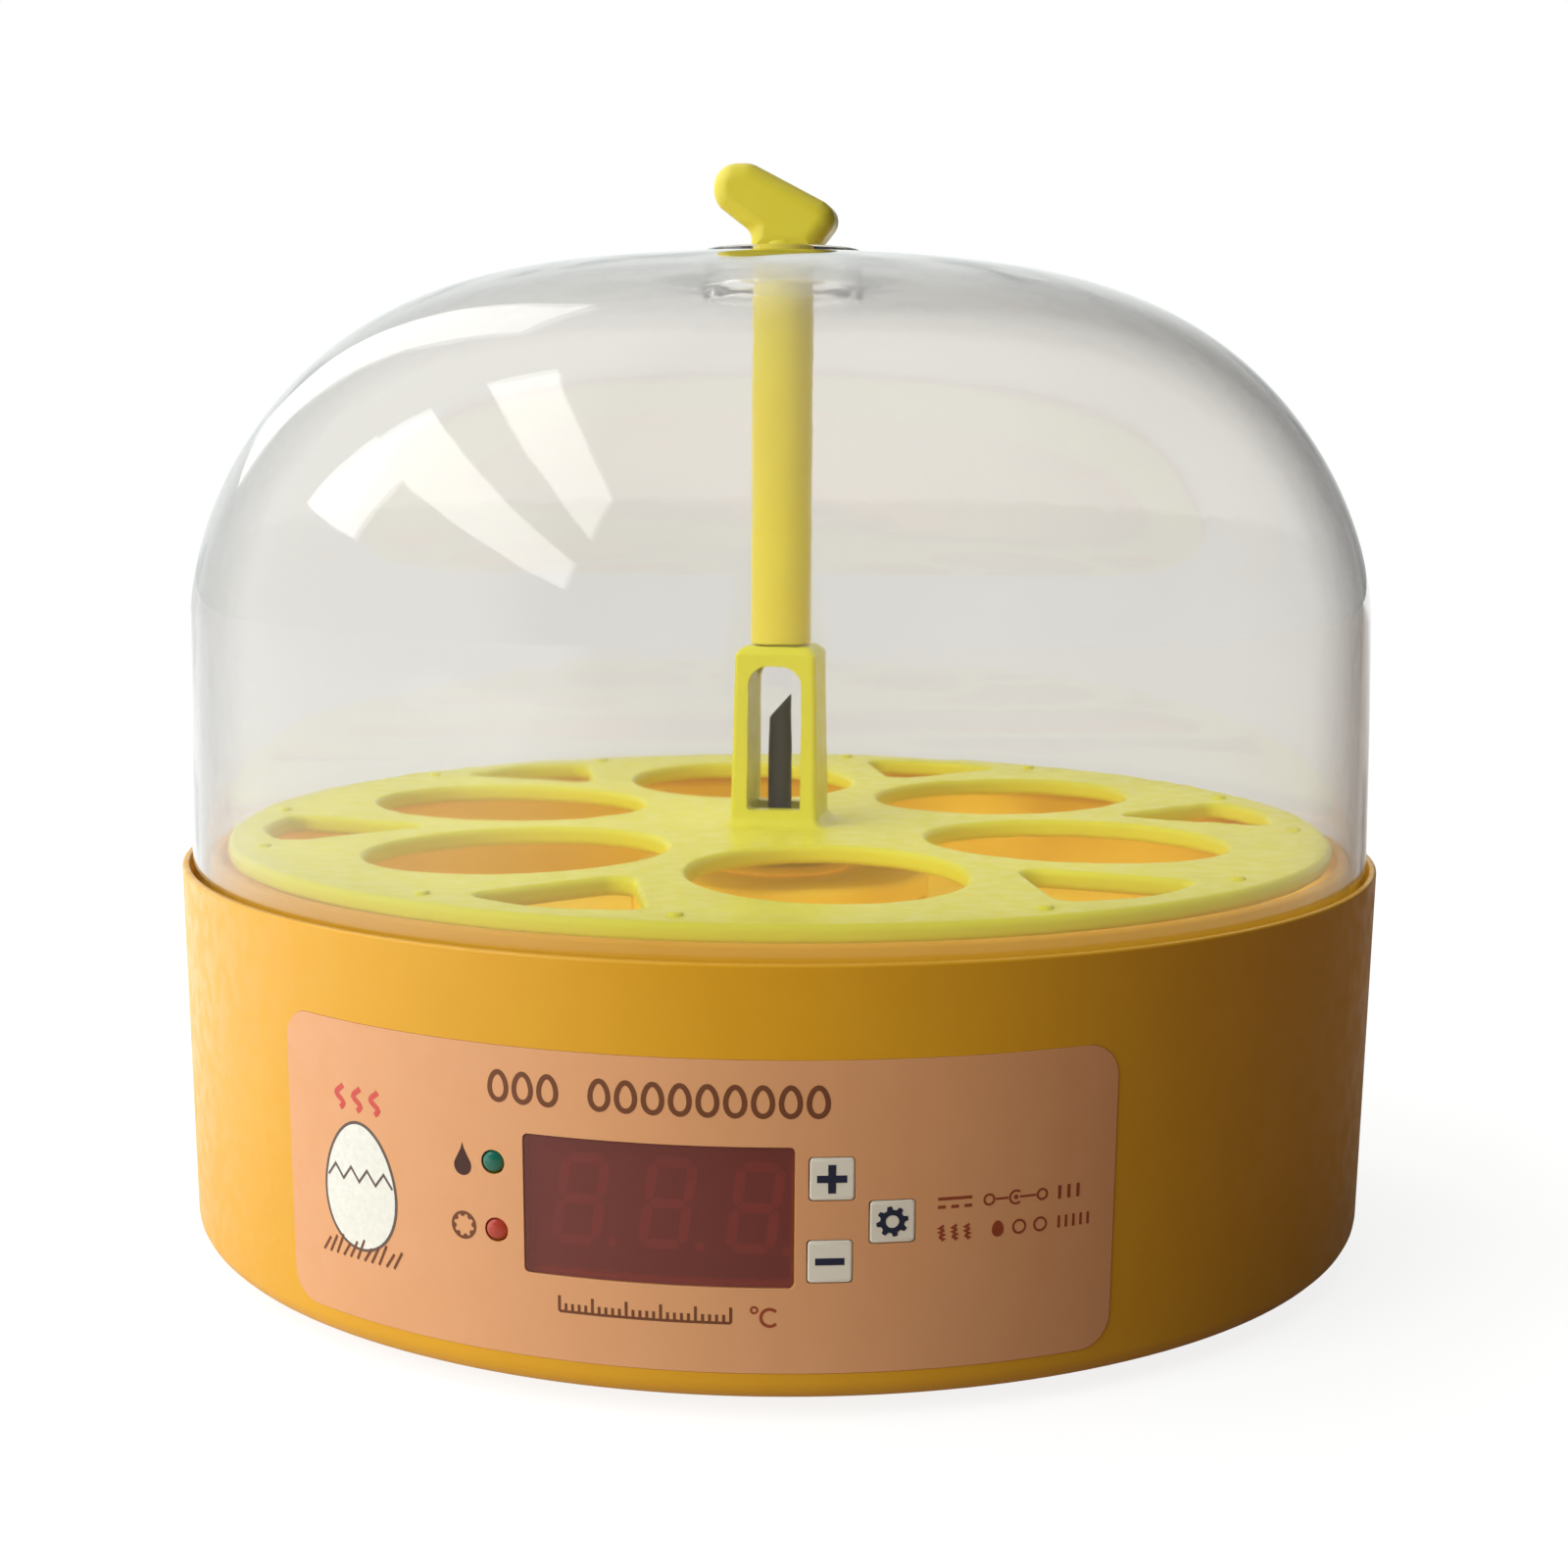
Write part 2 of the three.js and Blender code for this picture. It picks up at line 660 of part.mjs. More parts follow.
/** The handle's grip in side view: a bar that leans down to the right, with a round upper end. */
function gripOutline() {
  const outline = new THREE.Shape();
  outline.moveTo(-HANDLE.radius, HANDLE.neck);
  outline.lineTo(HANDLE.radius, HANDLE.neck - 1.4);
  outline.lineTo(8.2, 174.4);
  outline.quadraticCurveTo(10.4, 177, 7.8, 178.6);
  outline.lineTo(-3.8, 184.9);
  outline.quadraticCurveTo(-7.4, HANDLE.top + 1, -9.9, 184.2);
  outline.quadraticCurveTo(-12.4, 181.8, -10, 178.6);
  outline.lineTo(-HANDLE.radius - 0.6, 175);
  outline.closePath();
  return outline;
}

function turningHandle() {
  const shaft = turned([
    [0, POST.top + GAP],
    [HANDLE.radius, POST.top + GAP],
    [HANDLE.radius, HANDLE.neck],
    [0, HANDLE.neck],
  ], 16);
  const tenon = taperedSquare(HANDLE.tenon, HANDLE.tenon, POST.windowTop + GAP, POST.top + 1);
  const options = { depth: HANDLE.grip, bevelEnabled: false, curveSegments: 4 };
  const bar = new THREE.ExtrudeGeometry(gripOutline(), options);
  bar.rotateX(Math.PI / 2).translate(0, HANDLE.grip / 2, 0);
  const grip = solid(bar).intersect(rod(HANDLE.reach, HANDLE.neck - 3, HANDLE.top + 2, 0, 0, ROUND.middle));
  return joined(shaft, tenon, grip);
}

// ---------------------------------------------------------------- dome

/** A point of the dome's shoulder and crown, t from 0 at the wall to 1 on the axis. */
function crownPoint(t, depth) {
  const angle = (t * Math.PI) / 2;
  const radius = (DOME.shoulderRadius - depth) * Math.cos(angle) ** DOME.crownPower;
  const height = DOME.shoulder + (DOME.top - depth - DOME.shoulder) * Math.sin(angle) ** DOME.risePower;
  return [radius, height];
}

function dome() {
  const steps = [0, 0.16, 0.31, 0.45, 0.58, 0.7, 0.81, 0.9, 0.96];
  const collar = DOME.holeRadius + DOME.wall;
  const outer = steps.map((t) => crownPoint(t, 0));
  const inner = steps.map((t) => crownPoint(t, DOME.wall)).reverse();
  return turned([
    [DOME.edgeRadius, DOME.edge],
    ...outer,
    [DOME.collarFlare, DOME.top - 0.4],
    [collar, DOME.collarTop - 0.4],
    [collar - 0.4, DOME.collarTop],
    [DOME.holeRadius, DOME.collarTop - 0.3],
    [DOME.holeRadius, DOME.collarEnd],
    [collar, DOME.collarEnd],
    [collar + 0.6, DOME.top - DOME.wall - 1],
    ...inner,
    [DOME.edgeRadius - DOME.wall, DOME.edge],
  ], ROUND.large);
}

// ---------------------------------------------------------------- control panel

function controlFilm() {
  const outer = PANEL.recess - GAP - PANEL.film;
  return cut(
    wallSlab(panelArea(0), outer, outer + PANEL.film),
    wallSlab(displayArea(GAP), -1, 2),
    controlPassages(GAP),
  );
}

function displayWindow() {
  const outer = PANEL.recess - GAP - PANEL.film;
  return wallSlab(displayArea(0), outer, 1.9);
}

/** A key cap that slides along Y: its face follows the wall, and its flange stays behind the wall. */
function buttonCap(arc, height) {
  const [x] = onWall(arc, height);
  const half = BUTTON.side / 2;
  const flange = BUTTON.flange / 2;
  const reach = Math.abs(x) + flange;
  const wallBack = -Math.sqrt(BASE.innerRadius ** 2 - reach ** 2) + 0.4;
  const plungerFace = BOARD.front - 5.2;
  const face = 0.15; // how far the cap stands proud of the wall
  const { rimRadius, bottomRadius, rim, bottom } = BASE;
  const skin = new THREE.CylinderGeometry(rimRadius + face, bottomRadius + face, rim - bottom, 96)
    .rotateX(Math.PI / 2)
    .translate(0, 0, (rim + bottom) / 2);
  const head = block([x - half, -rimRadius - 1, height - half], [x + half, wallBack + 0.5, height + half]);
  return joined(
    head.intersect(solid(skin)),
    block([x - flange, wallBack, height - flange], [x + flange, wallBack + 1.1, height + flange]),
    rodAlongY(1.5, wallBack + 0.5, plungerFace, x, height, ROUND.tiny),
  );
}

/** A push switch on the board's front face, in its own frame: the board's face is at y = 0. */
function pushSwitch() {
  return joined(block([-3, -3.8, -3], [3, -GAP, 3]), rodAlongY(1.7, -4.6, -3.5, 0, 0, ROUND.tiny));
}

/** A lamp with its two legs, from its tip in the wall to the board. */
function lampBody(arc, height) {
  const [x, y] = onWall(arc, height);
  const base = BOARD.front - 5;
  const tip = y + 0.5;
  const legs = [-1.27, 1.27].map((dx) =>
    block([x + dx - 0.3, base - 0.5, height - 0.3], [x + dx + 0.3, BOARD.front - GAP, height + 0.3]),
  );
  const lens = turned([
    [0, -base],
    [LAMP.radius + 0.5, -base],
    [LAMP.radius + 0.5, -base + 1],
    [LAMP.radius, -base + 1],
    [LAMP.radius, -tip - 0.9],
    [LAMP.radius * 0.75, -tip - 0.2],
    [0, -tip],
  ], ROUND.small).rotate([90, 0, 0]).translate([x, 0, height]);
  return joined(lens, ...legs);
}

function controlBoard() {
  const half = BOARD.width / 2;
  const holes = [-1, 1].flatMap((side) =>
    BOARD.screwZ.map((z) =>
      rodAlongY(1.7, BOARD.front - 1, BOARD.front + 3, side * BOARD.screwX, z, ROUND.tiny),
    ),
  );
  return cut(
    block([-half, BOARD.front, BOARD.low], [half, BOARD.front + BOARD.thickness, BOARD.high]),
    ...holes,
  );
}

/** Three-digit display: a body with two rows of pins down to the board. */
function displayModule() {
  const halfWidth = DISPLAY.width / 2;
  const halfTall = DISPLAY.tall / 2;
  const front = -98.3;
  const back = front + 8;
  const rows = [-1, 1].map((side) =>
    block([-14, back - 0.5, side * 6.5 - 0.4], [14, BOARD.front - GAP, side * 6.5 + 0.4]),
  );
  const body = block([-halfWidth, front, -halfTall], [halfWidth, back, halfTall]);
  return joined(body, ...rows).translate([DISPLAY.arc, 0, DISPLAY.height]);
}

/** Parts on the back of the board. The group's origin is on the board's back face. */
function boardParts() {
  const chip = block([-5, GAP, -5], [5, 2.3, 5]);
  const tab = joined(block([-5, GAP, 0], [5, 4.6, 9]), block([-5, GAP, 9], [5, 1.6, 15]));
  const connector = block([-10, GAP, -3], [10, 8, 3]);
  const made = group(
    part('microcontroller', chip, BLACK_PLASTIC, [-2, 0, 26]),
    part('heater_transistor', tab, BLACK_PLASTIC, [16, 0, 24]),
    part('buzzer', rodAlongY(6, GAP, 8, 0, 0, ROUND.middle), BLACK_PLASTIC, [-22, 0, 32]),
    part('capacitor', rodAlongY(4, GAP, 11, 0, 0, ROUND.small), BLACK_PLASTIC, [30, 0, 34]),
    part('lead_connector', connector, WHITE_PLASTIC, [0, 0, 15]),
    part('power_connector', block([-5, GAP, -3], [5, 8, 3]), WHITE_PLASTIC, [27, 0, 15]),
  );
  made.position.y = BOARD.front + BOARD.thickness;
  return made;
}

function boardScrews() {
  const body = screw(1.1, 6, 2.2);
  const places = [-1, 1].flatMap((side) =>
    BOARD.screwZ.map((z) => [side * BOARD.screwX, BOARD.front - GAP, z]),
  );
  return places.map((place, i) => part(`board_screw_${i + 1}`, body, STEEL, place, [-Math.PI / 2, 0, 0]));
}

function controlPanel() {
  const buttons = BUTTONS.map(({ name, arc, height }) => part(`${name}_button`, buttonCap(arc, height), KEY));
  const switches = BUTTONS.map(({ name, arc, height }) =>
    part(`${name}_switch`, pushSwitch(), BLACK_PLASTIC, [onWall(arc, height)[0], BOARD.front, height]),
  );
  const lenses = { green: GREEN_LENS, red: RED_LENS };
  const lamps = LAMPS.map(({ name, arc, height }) =>
    part(`${name}_lamp`, lampBody(arc, height), lenses[name]),
  );
  return group(
    part('control_film', controlFilm(), FILM),
    part('display_window', displayWindow(), SMOKED),
    part('display_module', displayModule(), BLACK_PLASTIC),
    part('control_board', controlBoard(), BOARD_GREEN),
    ...buttons,
    ...switches,
    ...lamps,
    ...boardScrews(),
    boardParts(),
  );
}

// ---------------------------------------------------------------- supply inlet and leads

/** Barrel socket in its own frame: its axis is Z, with the mouth up and the wall's outer face at 0. */
function powerJack() {
  const mouth = GAP + 1.6;
  return turned([
    [0, -9],
    [JACK.radius, -9],
    [JACK.radius, GAP],
    [JACK.flange, GAP],
    [JACK.flange, mouth - 0.4],
    [JACK.flange - 0.4, mouth],
    [2.8, mouth],
    [2.8, -6],
    [1, -6],
    [1, mouth - 1.5],
    [0, mouth - 1],
  ], ROUND.middle);
}

function jackNut() {
  const high = JACK.wallInner - JACK.wallOuter - GAP;
  return cut(hexagon(12, high - 2, high), rod(JACK.radius + GAP, high - 3, high + 1, 0, 0, ROUND.middle));
}

function supplyInlet() {
  const made = group(part('power_jack', powerJack(), BLACK_PLASTIC), part('jack_nut', jackNut(), STEEL));
  made.position.set(0, JACK.wallOuter, JACK.height);
  made.rotation.x = -Math.PI / 2;
  return made;
}

/** Insulated leads below the floor. Each starts and ends with a straight step out of its connector. */
function leads() {
  const plugFace = BOARD.front + BOARD.thickness + 8 + GAP;
  const straight = plugFace + 7;
  const passage = HEATER.radius + GAP; // distance of the floor's two lead holes from the axis
  const power = [
    [0, JACK.wallOuter - 9 - GAP, JACK.height],
    [0, JACK.wallOuter - 14, JACK.height],
    [34, 66, 11],
    [70, 20, 9],
    [69, -30, 9],
    [27, straight, 15],
    [27, plugFace, 15],
  ];
  const fan = [
    [FAN.side / 2 + GAP, -8, 38],
    [FAN.side / 2 + 4, -8, 38],
    [22, -48, 24],
    [7, straight, 15],
    [7, plugFace, 15],
  ];
  const heater = [
    [0, -passage, HEATER.height - HEATER.wire - GAP],
    [0, -passage, PAN.floor - 4],
    [0, -34, 34],
    [0, straight, 15],
    [0, plugFace, 15],
  ];
  const sensorFoot = TURRET.top - TURRET.wall - 2.6 - 2 * GAP;
  const probe = [
    [0, 0, sensorFoot],
    [-1.5, 0, sensorFoot - 2],
    [-16, 0, 50.4],
    [-passage, 0, PAN.floor + 1],
    [-passage, 0, PAN.floor - 4],
    [-24, -34, 28],
    [-7, straight, 15],
    [-7, plugFace, 15],
  ];
  return group(
    part('power_lead', tube(power, 1.5, 30), LEAD_BLACK),
    part('fan_lead', tube(fan, 1.2, 12), LEAD_BLACK),
    part('heater_lead', tube(heater, 1.2, 14), LEAD_RED),
    part('probe_lead', tube(probe, 0.9, 26), LEAD_BLACK),
  );
}

// ---------------------------------------------------------------- the incubator

const incubator = group(
  part('base_shell', baseShell(), ORANGE_SHELL),
  part('bottom_cover', bottomCover(), ORANGE_SHELL),
  ...feet(),
  ...coverScrews(),
  part('water_pan', waterPan(), ORANGE_SHELL),
  part('fan_housing', fanHousing(), ORANGE_SHELL),
  part('heating_ring', heatingRing(), HEATER_SLEEVE),
  part('temperature_probe', temperatureProbe(), BLACK_PLASTIC),
  part('fan_frame', fanFrame(), BLACK_PLASTIC),
  part('fan_rotor', fanRotor(), BLACK_PLASTIC),
  ...fanScrews(),
  part('turning_ring', turningRing(), ORANGE_SHELL),
  part('egg_tray', eggTray(), LEMON),
  part('turning_handle', turningHandle(), LEMON),
  part('dome', dome(), CLEAR),
  controlPanel(),
  supplyInlet(),
  leads(),
);

export default incubator;
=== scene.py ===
# Looks of a small round egg incubator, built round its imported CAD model.
#
# Lengths are written in millimetres and become metres when a mesh is made. The frame is the CAD's:
# +Z up, the origin on the ground under the centre, the control panel facing -Y.

import json
import math

import bmesh
import bpy
from mathutils import Matrix, Vector
from mathutils.geometry import tessellate_polygon


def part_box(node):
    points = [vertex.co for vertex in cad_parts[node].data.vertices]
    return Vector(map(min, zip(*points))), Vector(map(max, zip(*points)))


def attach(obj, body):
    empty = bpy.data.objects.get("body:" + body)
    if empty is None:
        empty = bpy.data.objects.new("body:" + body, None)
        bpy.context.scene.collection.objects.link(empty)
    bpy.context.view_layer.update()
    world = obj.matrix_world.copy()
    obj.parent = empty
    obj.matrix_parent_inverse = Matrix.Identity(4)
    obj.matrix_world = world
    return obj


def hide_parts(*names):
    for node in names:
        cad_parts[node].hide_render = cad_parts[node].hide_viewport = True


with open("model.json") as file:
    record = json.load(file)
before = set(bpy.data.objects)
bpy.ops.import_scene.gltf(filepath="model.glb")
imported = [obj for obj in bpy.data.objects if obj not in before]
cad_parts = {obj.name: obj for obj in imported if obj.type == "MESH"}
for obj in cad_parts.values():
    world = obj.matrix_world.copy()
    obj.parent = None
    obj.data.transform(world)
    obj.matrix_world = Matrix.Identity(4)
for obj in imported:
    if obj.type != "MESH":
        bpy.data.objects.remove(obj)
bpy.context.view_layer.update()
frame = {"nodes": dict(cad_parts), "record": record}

MM = 0.001
TURN = 2 * math.pi

# -------- sizes


def corners_mm(node):
    """Lowest and highest corner of a CAD node, in millimetres."""
    low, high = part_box(node)
    return low / MM, high / MM


shell_low, shell_high = corners_mm("base_shell")
tray_high = corners_mm("egg_tray")[1]
dome_low, dome_high = corners_mm("dome")
film_low, film_high = corners_mm("control_film")
module_low = corners_mm("display_module")[0]
probe_low = corners_mm("temperature_probe")[0]

BASE_BOTTOM = shell_low.z
RIM = shell_high.z
RIM_RADIUS = 105.0
BOTTOM_RADIUS = 103.7
FACE_RADIUS = 104.4  # mean radius of the wall, on which arc lengths are measured
SHELL_INSIDE = 100.9
LEDGE = 59.6  # the water pan hangs here

PAN_FLOOR = 48.0
PAN_SHEET = 2.0
PAN_TOP = 67.9
PAN_SHADE_HEIGHT = 62.5  # above it the pan is painted a deeper orange, as shade from the tray over it
COVER_POSTS = 57.0
FAN_BOSSES = 16.0
TURRET_RADIUS = 27.0
TURRET_TOP = 62.0

TRAY_RADIUS = tray_high.x
TRAY_TOP = 70.2
TRAY_THICKNESS = 3.2
HOLE_REACH = 55.0
HOLE_RADIAL = 26.0
HOLE_ACROSS = 22.0
HOLE_TURN = 16.5  # degrees from the panel's centre line to the first hole

POST_BASE = 15.6
POST_TOP_SIDE = 14.5
POST_CAVITY = 9.6
POST_SILL = 73.0
POST_HEAD = 98.6
POST_SHOULDER = 100.4
POST_TOP = tray_high.z
PLUG_HOLE = 3.4

SHAFT_RADIUS = 5.35
NECK = 172.0
GRIP_DEPTH = 10.4

DOME_RADIUS = dome_high.x
DOME_WALL = 1.6
DOME_SHOULDER = 108.8
DOME_SHOULDER_RADIUS = 102.7
DOME_TOP = 169.2
CROWN_POWER = 0.581
RISE_POWER = 1.252
COLLAR_HOLE = 12.6
COLLAR_LOW = 163.6

PANEL_WIDTH = 133.0
PANEL_LOW = film_low.z
PANEL_HIGH = film_high.z
PANEL_CORNER = 5.0
FILM_PROUD = 0.12
FILM_SEAT = 0.35

DISPLAY_ARC = -1.3
DISPLAY_HEIGHT = 29.8
DISPLAY_WIDTH = 39.2
DISPLAY_TALL = 20.4

KEY_SIDE = 6.2
KEY_CORNER = 0.6
KEY_PROUD = 0.15
KEYS = {"plus": (23.5, 35.5), "minus": (23.3, 23.5), "settings": (32.1, 29.1)}

LAMP_RADIUS = 1.7
LAMP_BACK = -92.0
LAMPS = {"green": (-25.8, 35.2), "red": (-25.4, 25.2)}

# The camera's place and lens, in the frame.
CAMERA_TURN = 8.7
CAMERA_DISTANCE = 420.0
CAMERA_HEIGHT = 134.2
CAMERA_PITCH = 7.8
CAMERA_ROLL = 0.378
CAMERA_LENS = 53.85
CAMERA_SHIFT = 0.0026

# -------- camera


def add_object(name, data):
    made = bpy.data.objects.new(name, data)
    bpy.context.scene.collection.objects.link(made)
    return made


def add_camera():
    turn = math.radians(CAMERA_TURN)
    camera = add_object("camera", bpy.data.cameras.new("camera"))
    place = Matrix.Translation(
        Vector((math.sin(turn), -math.cos(turn), 0)) * CAMERA_DISTANCE * MM
        + Vector((0, 0, CAMERA_HEIGHT * MM))
    )
    camera.matrix_world = (
        place
        @ Matrix.Rotation(turn, 4, "Z")
        @ Matrix.Rotation(math.radians(90 - CAMERA_PITCH), 4, "X")
        @ Matrix.Rotation(math.radians(CAMERA_ROLL), 4, "Z")
    )
    camera.data.lens = CAMERA_LENS
    camera.data.sensor_width = 36
    camera.data.shift_x = CAMERA_SHIFT
    bpy.context.scene.camera = camera


# -------- materials


def map_range(tree, value, start, end, low, high):
    """A value's stretch from start to end, mapped from low to high."""
    node = tree.nodes.new("ShaderNodeMapRange")
    for name, number in zip(("From Min", "From Max", "To Min", "To Max"), (start, end, low, high)):
        node.inputs[name].default_value = number
    tree.links.new(value, node.inputs["Value"])
    return node


def largest(tree, first, second):
    """The larger of two values."""
    node = tree.nodes.new("ShaderNodeMath")
    node.operation = "MAXIMUM"
    for output, socket in zip((first, second), node.inputs):
        tree.links.new(output, socket)
    return node.outputs["Value"]


def along(tree, vector, direction):
    """How far a vector reaches in a direction."""
    node = tree.nodes.new("ShaderNodeVectorMath")
    node.operation = "DOT_PRODUCT"
    node.inputs[1].default_value = direction
    tree.links.new(vector, node.inputs[0])
    return node.outputs["Value"]


def height_in(tree, vector):
    node = tree.nodes.new("ShaderNodeSeparateXYZ")
    tree.links.new(vector, node.inputs["Vector"])
    return node.outputs["Z"]


class Surface:
    """A material with a Principled shader, and short calls for the nodes that drive it."""

    def __init__(self, name):
        self.material = bpy.data.materials.new(name)
        self.material.use_nodes = True
        self.tree = self.material.node_tree
        self.shader = self.tree.nodes["Principled BSDF"]
        self.place = self.tree.nodes.new("ShaderNodeTexCoord").outputs["Object"]

    def link(self, output, socket):
        self.tree.links.new(output, socket)

    def noise(self, size, detail=4.0, stretch=(1, 1, 1)):
        """Noise whose features are about this many millimetres across."""
        mapping = self.tree.nodes.new("ShaderNodeMapping")
        mapping.inputs["Scale"].default_value = stretch
        self.link(self.place, mapping.inputs["Vector"])
        node = self.tree.nodes.new("ShaderNodeTexNoise")
        node.inputs["Scale"].default_value = 1 / (size * MM)
        node.inputs["Detail"].default_value = detail
        self.link(mapping.outputs["Vector"], node.inputs["Vector"])
        return node.outputs["Fac"]

    def ramp(self, value, start, end, low, high):
        return map_range(self.tree, value, start, end, low, high).outputs["Result"]

    def spread(self, noise, low, high):
        """The middle half of a noise, stretched between two values."""
        return self.ramp(noise, 0.3, 0.7, low, high)

    def blend(self, factor, first, second):
        """A colour between two, each a colour or another blend's output."""
        node = self.tree.nodes.new("ShaderNodeMix")
        node.data_type = "RGBA"
        self.link(factor, node.inputs["Factor"])
        for socket, value in ((node.inputs["A"], first), (node.inputs["B"], second)):
            if isinstance(value, tuple):
                socket.default_value = (*value, 1)
            else:
                self.link(value, socket)
        return node.outputs["Result"]

    def bump(self, *layers):
        """Surface relief from (noise, depth in millimetres) layers."""
        normal = None
        for height, depth in layers:
            node = self.tree.nodes.new("ShaderNodeBump")
            node.inputs["Distance"].default_value = depth * MM
            self.link(height, node.inputs["Height"])
            if normal is not None:
                self.link(normal, node.inputs["Normal"])
            normal = node.outputs["Normal"]
        self.link(normal, self.shader.inputs["Normal"])

    def set(self, **values):
        for name, value in values.items():
            socket = self.shader.inputs[name.replace("_", " ")]
            socket.default_value = (*value, 1) if isinstance(value, tuple) and len(value) == 3 else value


def shade(colour, factor):
    return tuple(min(1.0, c * factor) for c in colour)


def moulded(name, colour, roughness, mottle=0.06, relief=0.02, dark=None, rim=None, **sockets):
    """Moulded plastic: slow colour drift, uneven gloss, faint flow waves and a fine grain. A rim colour is
    painted shade: it takes over above a set height on the pan, where the collar lies in the tray's shadow."""
    s = Surface(name)
    deep = dark or shade(colour, 1 - 2 * mottle)
    drift = s.spread(s.noise(38, 3), 0, 1)
    speck = s.spread(s.noise(3.5, 6), 0.1, 0.9)
    cloud = s.blend(drift, shade(colour, 1 + mottle), shade(colour, 1 - mottle))
    surface = s.blend(s.spread(s.noise(9, 5), 0, 0.35), cloud, deep)
    # painted shade: above the height the rim colour replaces the plastic's own, darkening the pan's collar
    # as the tray's shadow
    if rim:
        above = s.ramp(height_in(s.tree, s.place), PAN_SHADE_HEIGHT * MM, (PAN_SHADE_HEIGHT + 2) * MM, 0, 1)
        surface = s.blend(above, surface, rim)
    s.link(surface, s.shader.inputs["Base Color"])
    s.link(s.spread(speck, roughness * 0.85, roughness * 1.2), s.shader.inputs["Roughness"])
    s.bump((s.noise(22, 2), relief), (s.noise(0.7, 3), relief * 0.12))
    s.set(IOR=1.5, **sockets)
    return s.material


def metal(name, colour, roughness):
    s = Surface(name)
    worn = s.spread(s.noise(4, 6), 0, 1)
    s.link(s.blend(worn, shade(colour, 0.85), shade(colour, 1.05)), s.shader.inputs["Base Color"])
    s.link(s.spread(s.noise(1.5, 6), roughness * 0.7, roughness * 1.5), s.shader.inputs["Roughness"])
    s.bump((s.noise(0.5, 3, (1, 1, 6)), 0.004))
    s.set(Metallic=1.0)
    return s.material


def clear_plastic(name, tint, roughness, wave, **sockets):
    """Clear polystyrene: slow waves of a moulded wall, faint handling marks, and a deeper tone edge-on that
    is painted shade, standing in for the dark bands of refraction.
    """
    s = Surface(name)
    haze = s.spread(s.noise(60, 4), 0, 1)
    facing = s.tree.nodes.new("ShaderNodeLayerWeight").outputs["Facing"]
    # painted shade: the colour darkens where the wall is seen at a slant, in place of the dark bands that
    # refraction through a thick edge gives
    edge = s.ramp(facing, 0.6, 0.92, 0, 1)
    wall = s.blend(haze, tint, shade(tint, 0.97))
    s.link(s.blend(edge, wall, shade(tint, 0.3)), s.shader.inputs["Base Color"])
    s.link(s.spread(s.noise(25, 6), roughness * 0.5, roughness * 1.6), s.shader.inputs["Roughness"])
    s.bump((s.noise(45, 2), wave), (s.noise(12, 2), wave * 0.12))
    s.set(**{"Transmission_Weight": 1.0, "IOR": 1.5, **sockets})
    return s.material


def printed_ink(name, colour):
    """Screen ink: slightly uneven cover, matt."""
    s = Surface(name)
    cover = s.spread(s.noise(0.9, 5), 0, 1)
    s.link(s.blend(cover, shade(colour, 0.95), shade(colour, 1.05)), s.shader.inputs["Base Color"])
    s.link(s.spread(s.noise(2.5, 4), 0.5, 0.7), s.shader.inputs["Roughness"])
    return s.material


def laminate(name, colour, track):
    """Circuit board: lacquer over a weave, with paler copper areas under it."""
    s = Surface(name)
    copper = s.spread(s.noise(7, 1, (1, 1, 2)), -1.5, 1.5)
    s.link(s.blend(copper, colour, track), s.shader.inputs["Base Color"])
    s.link(s.spread(s.noise(3, 4), 0.25, 0.45), s.shader.inputs["Roughness"])
    s.bump((s.noise(0.9, 1, (1, 1, 0.3)), 0.01))
    return s.material


ORANGE = (0.73, 0.36, 0.015)
# painted light: the pan's orange is brighter and yellower than the shell's, standing in for light that
# passes through its thin plastic
PAN_PAINTED_LIT_ORANGE = (0.93, 0.65, 0.06)
# painted shade: the darker orange of the pan's collar, in the tray's shadow
PAN_PAINTED_SHADE_ORANGE = (0.6, 0.27, 0.02)
LEMON = (0.715, 0.665, 0.044)
HANDLE_LEMON = (0.76, 0.63, 0.05)

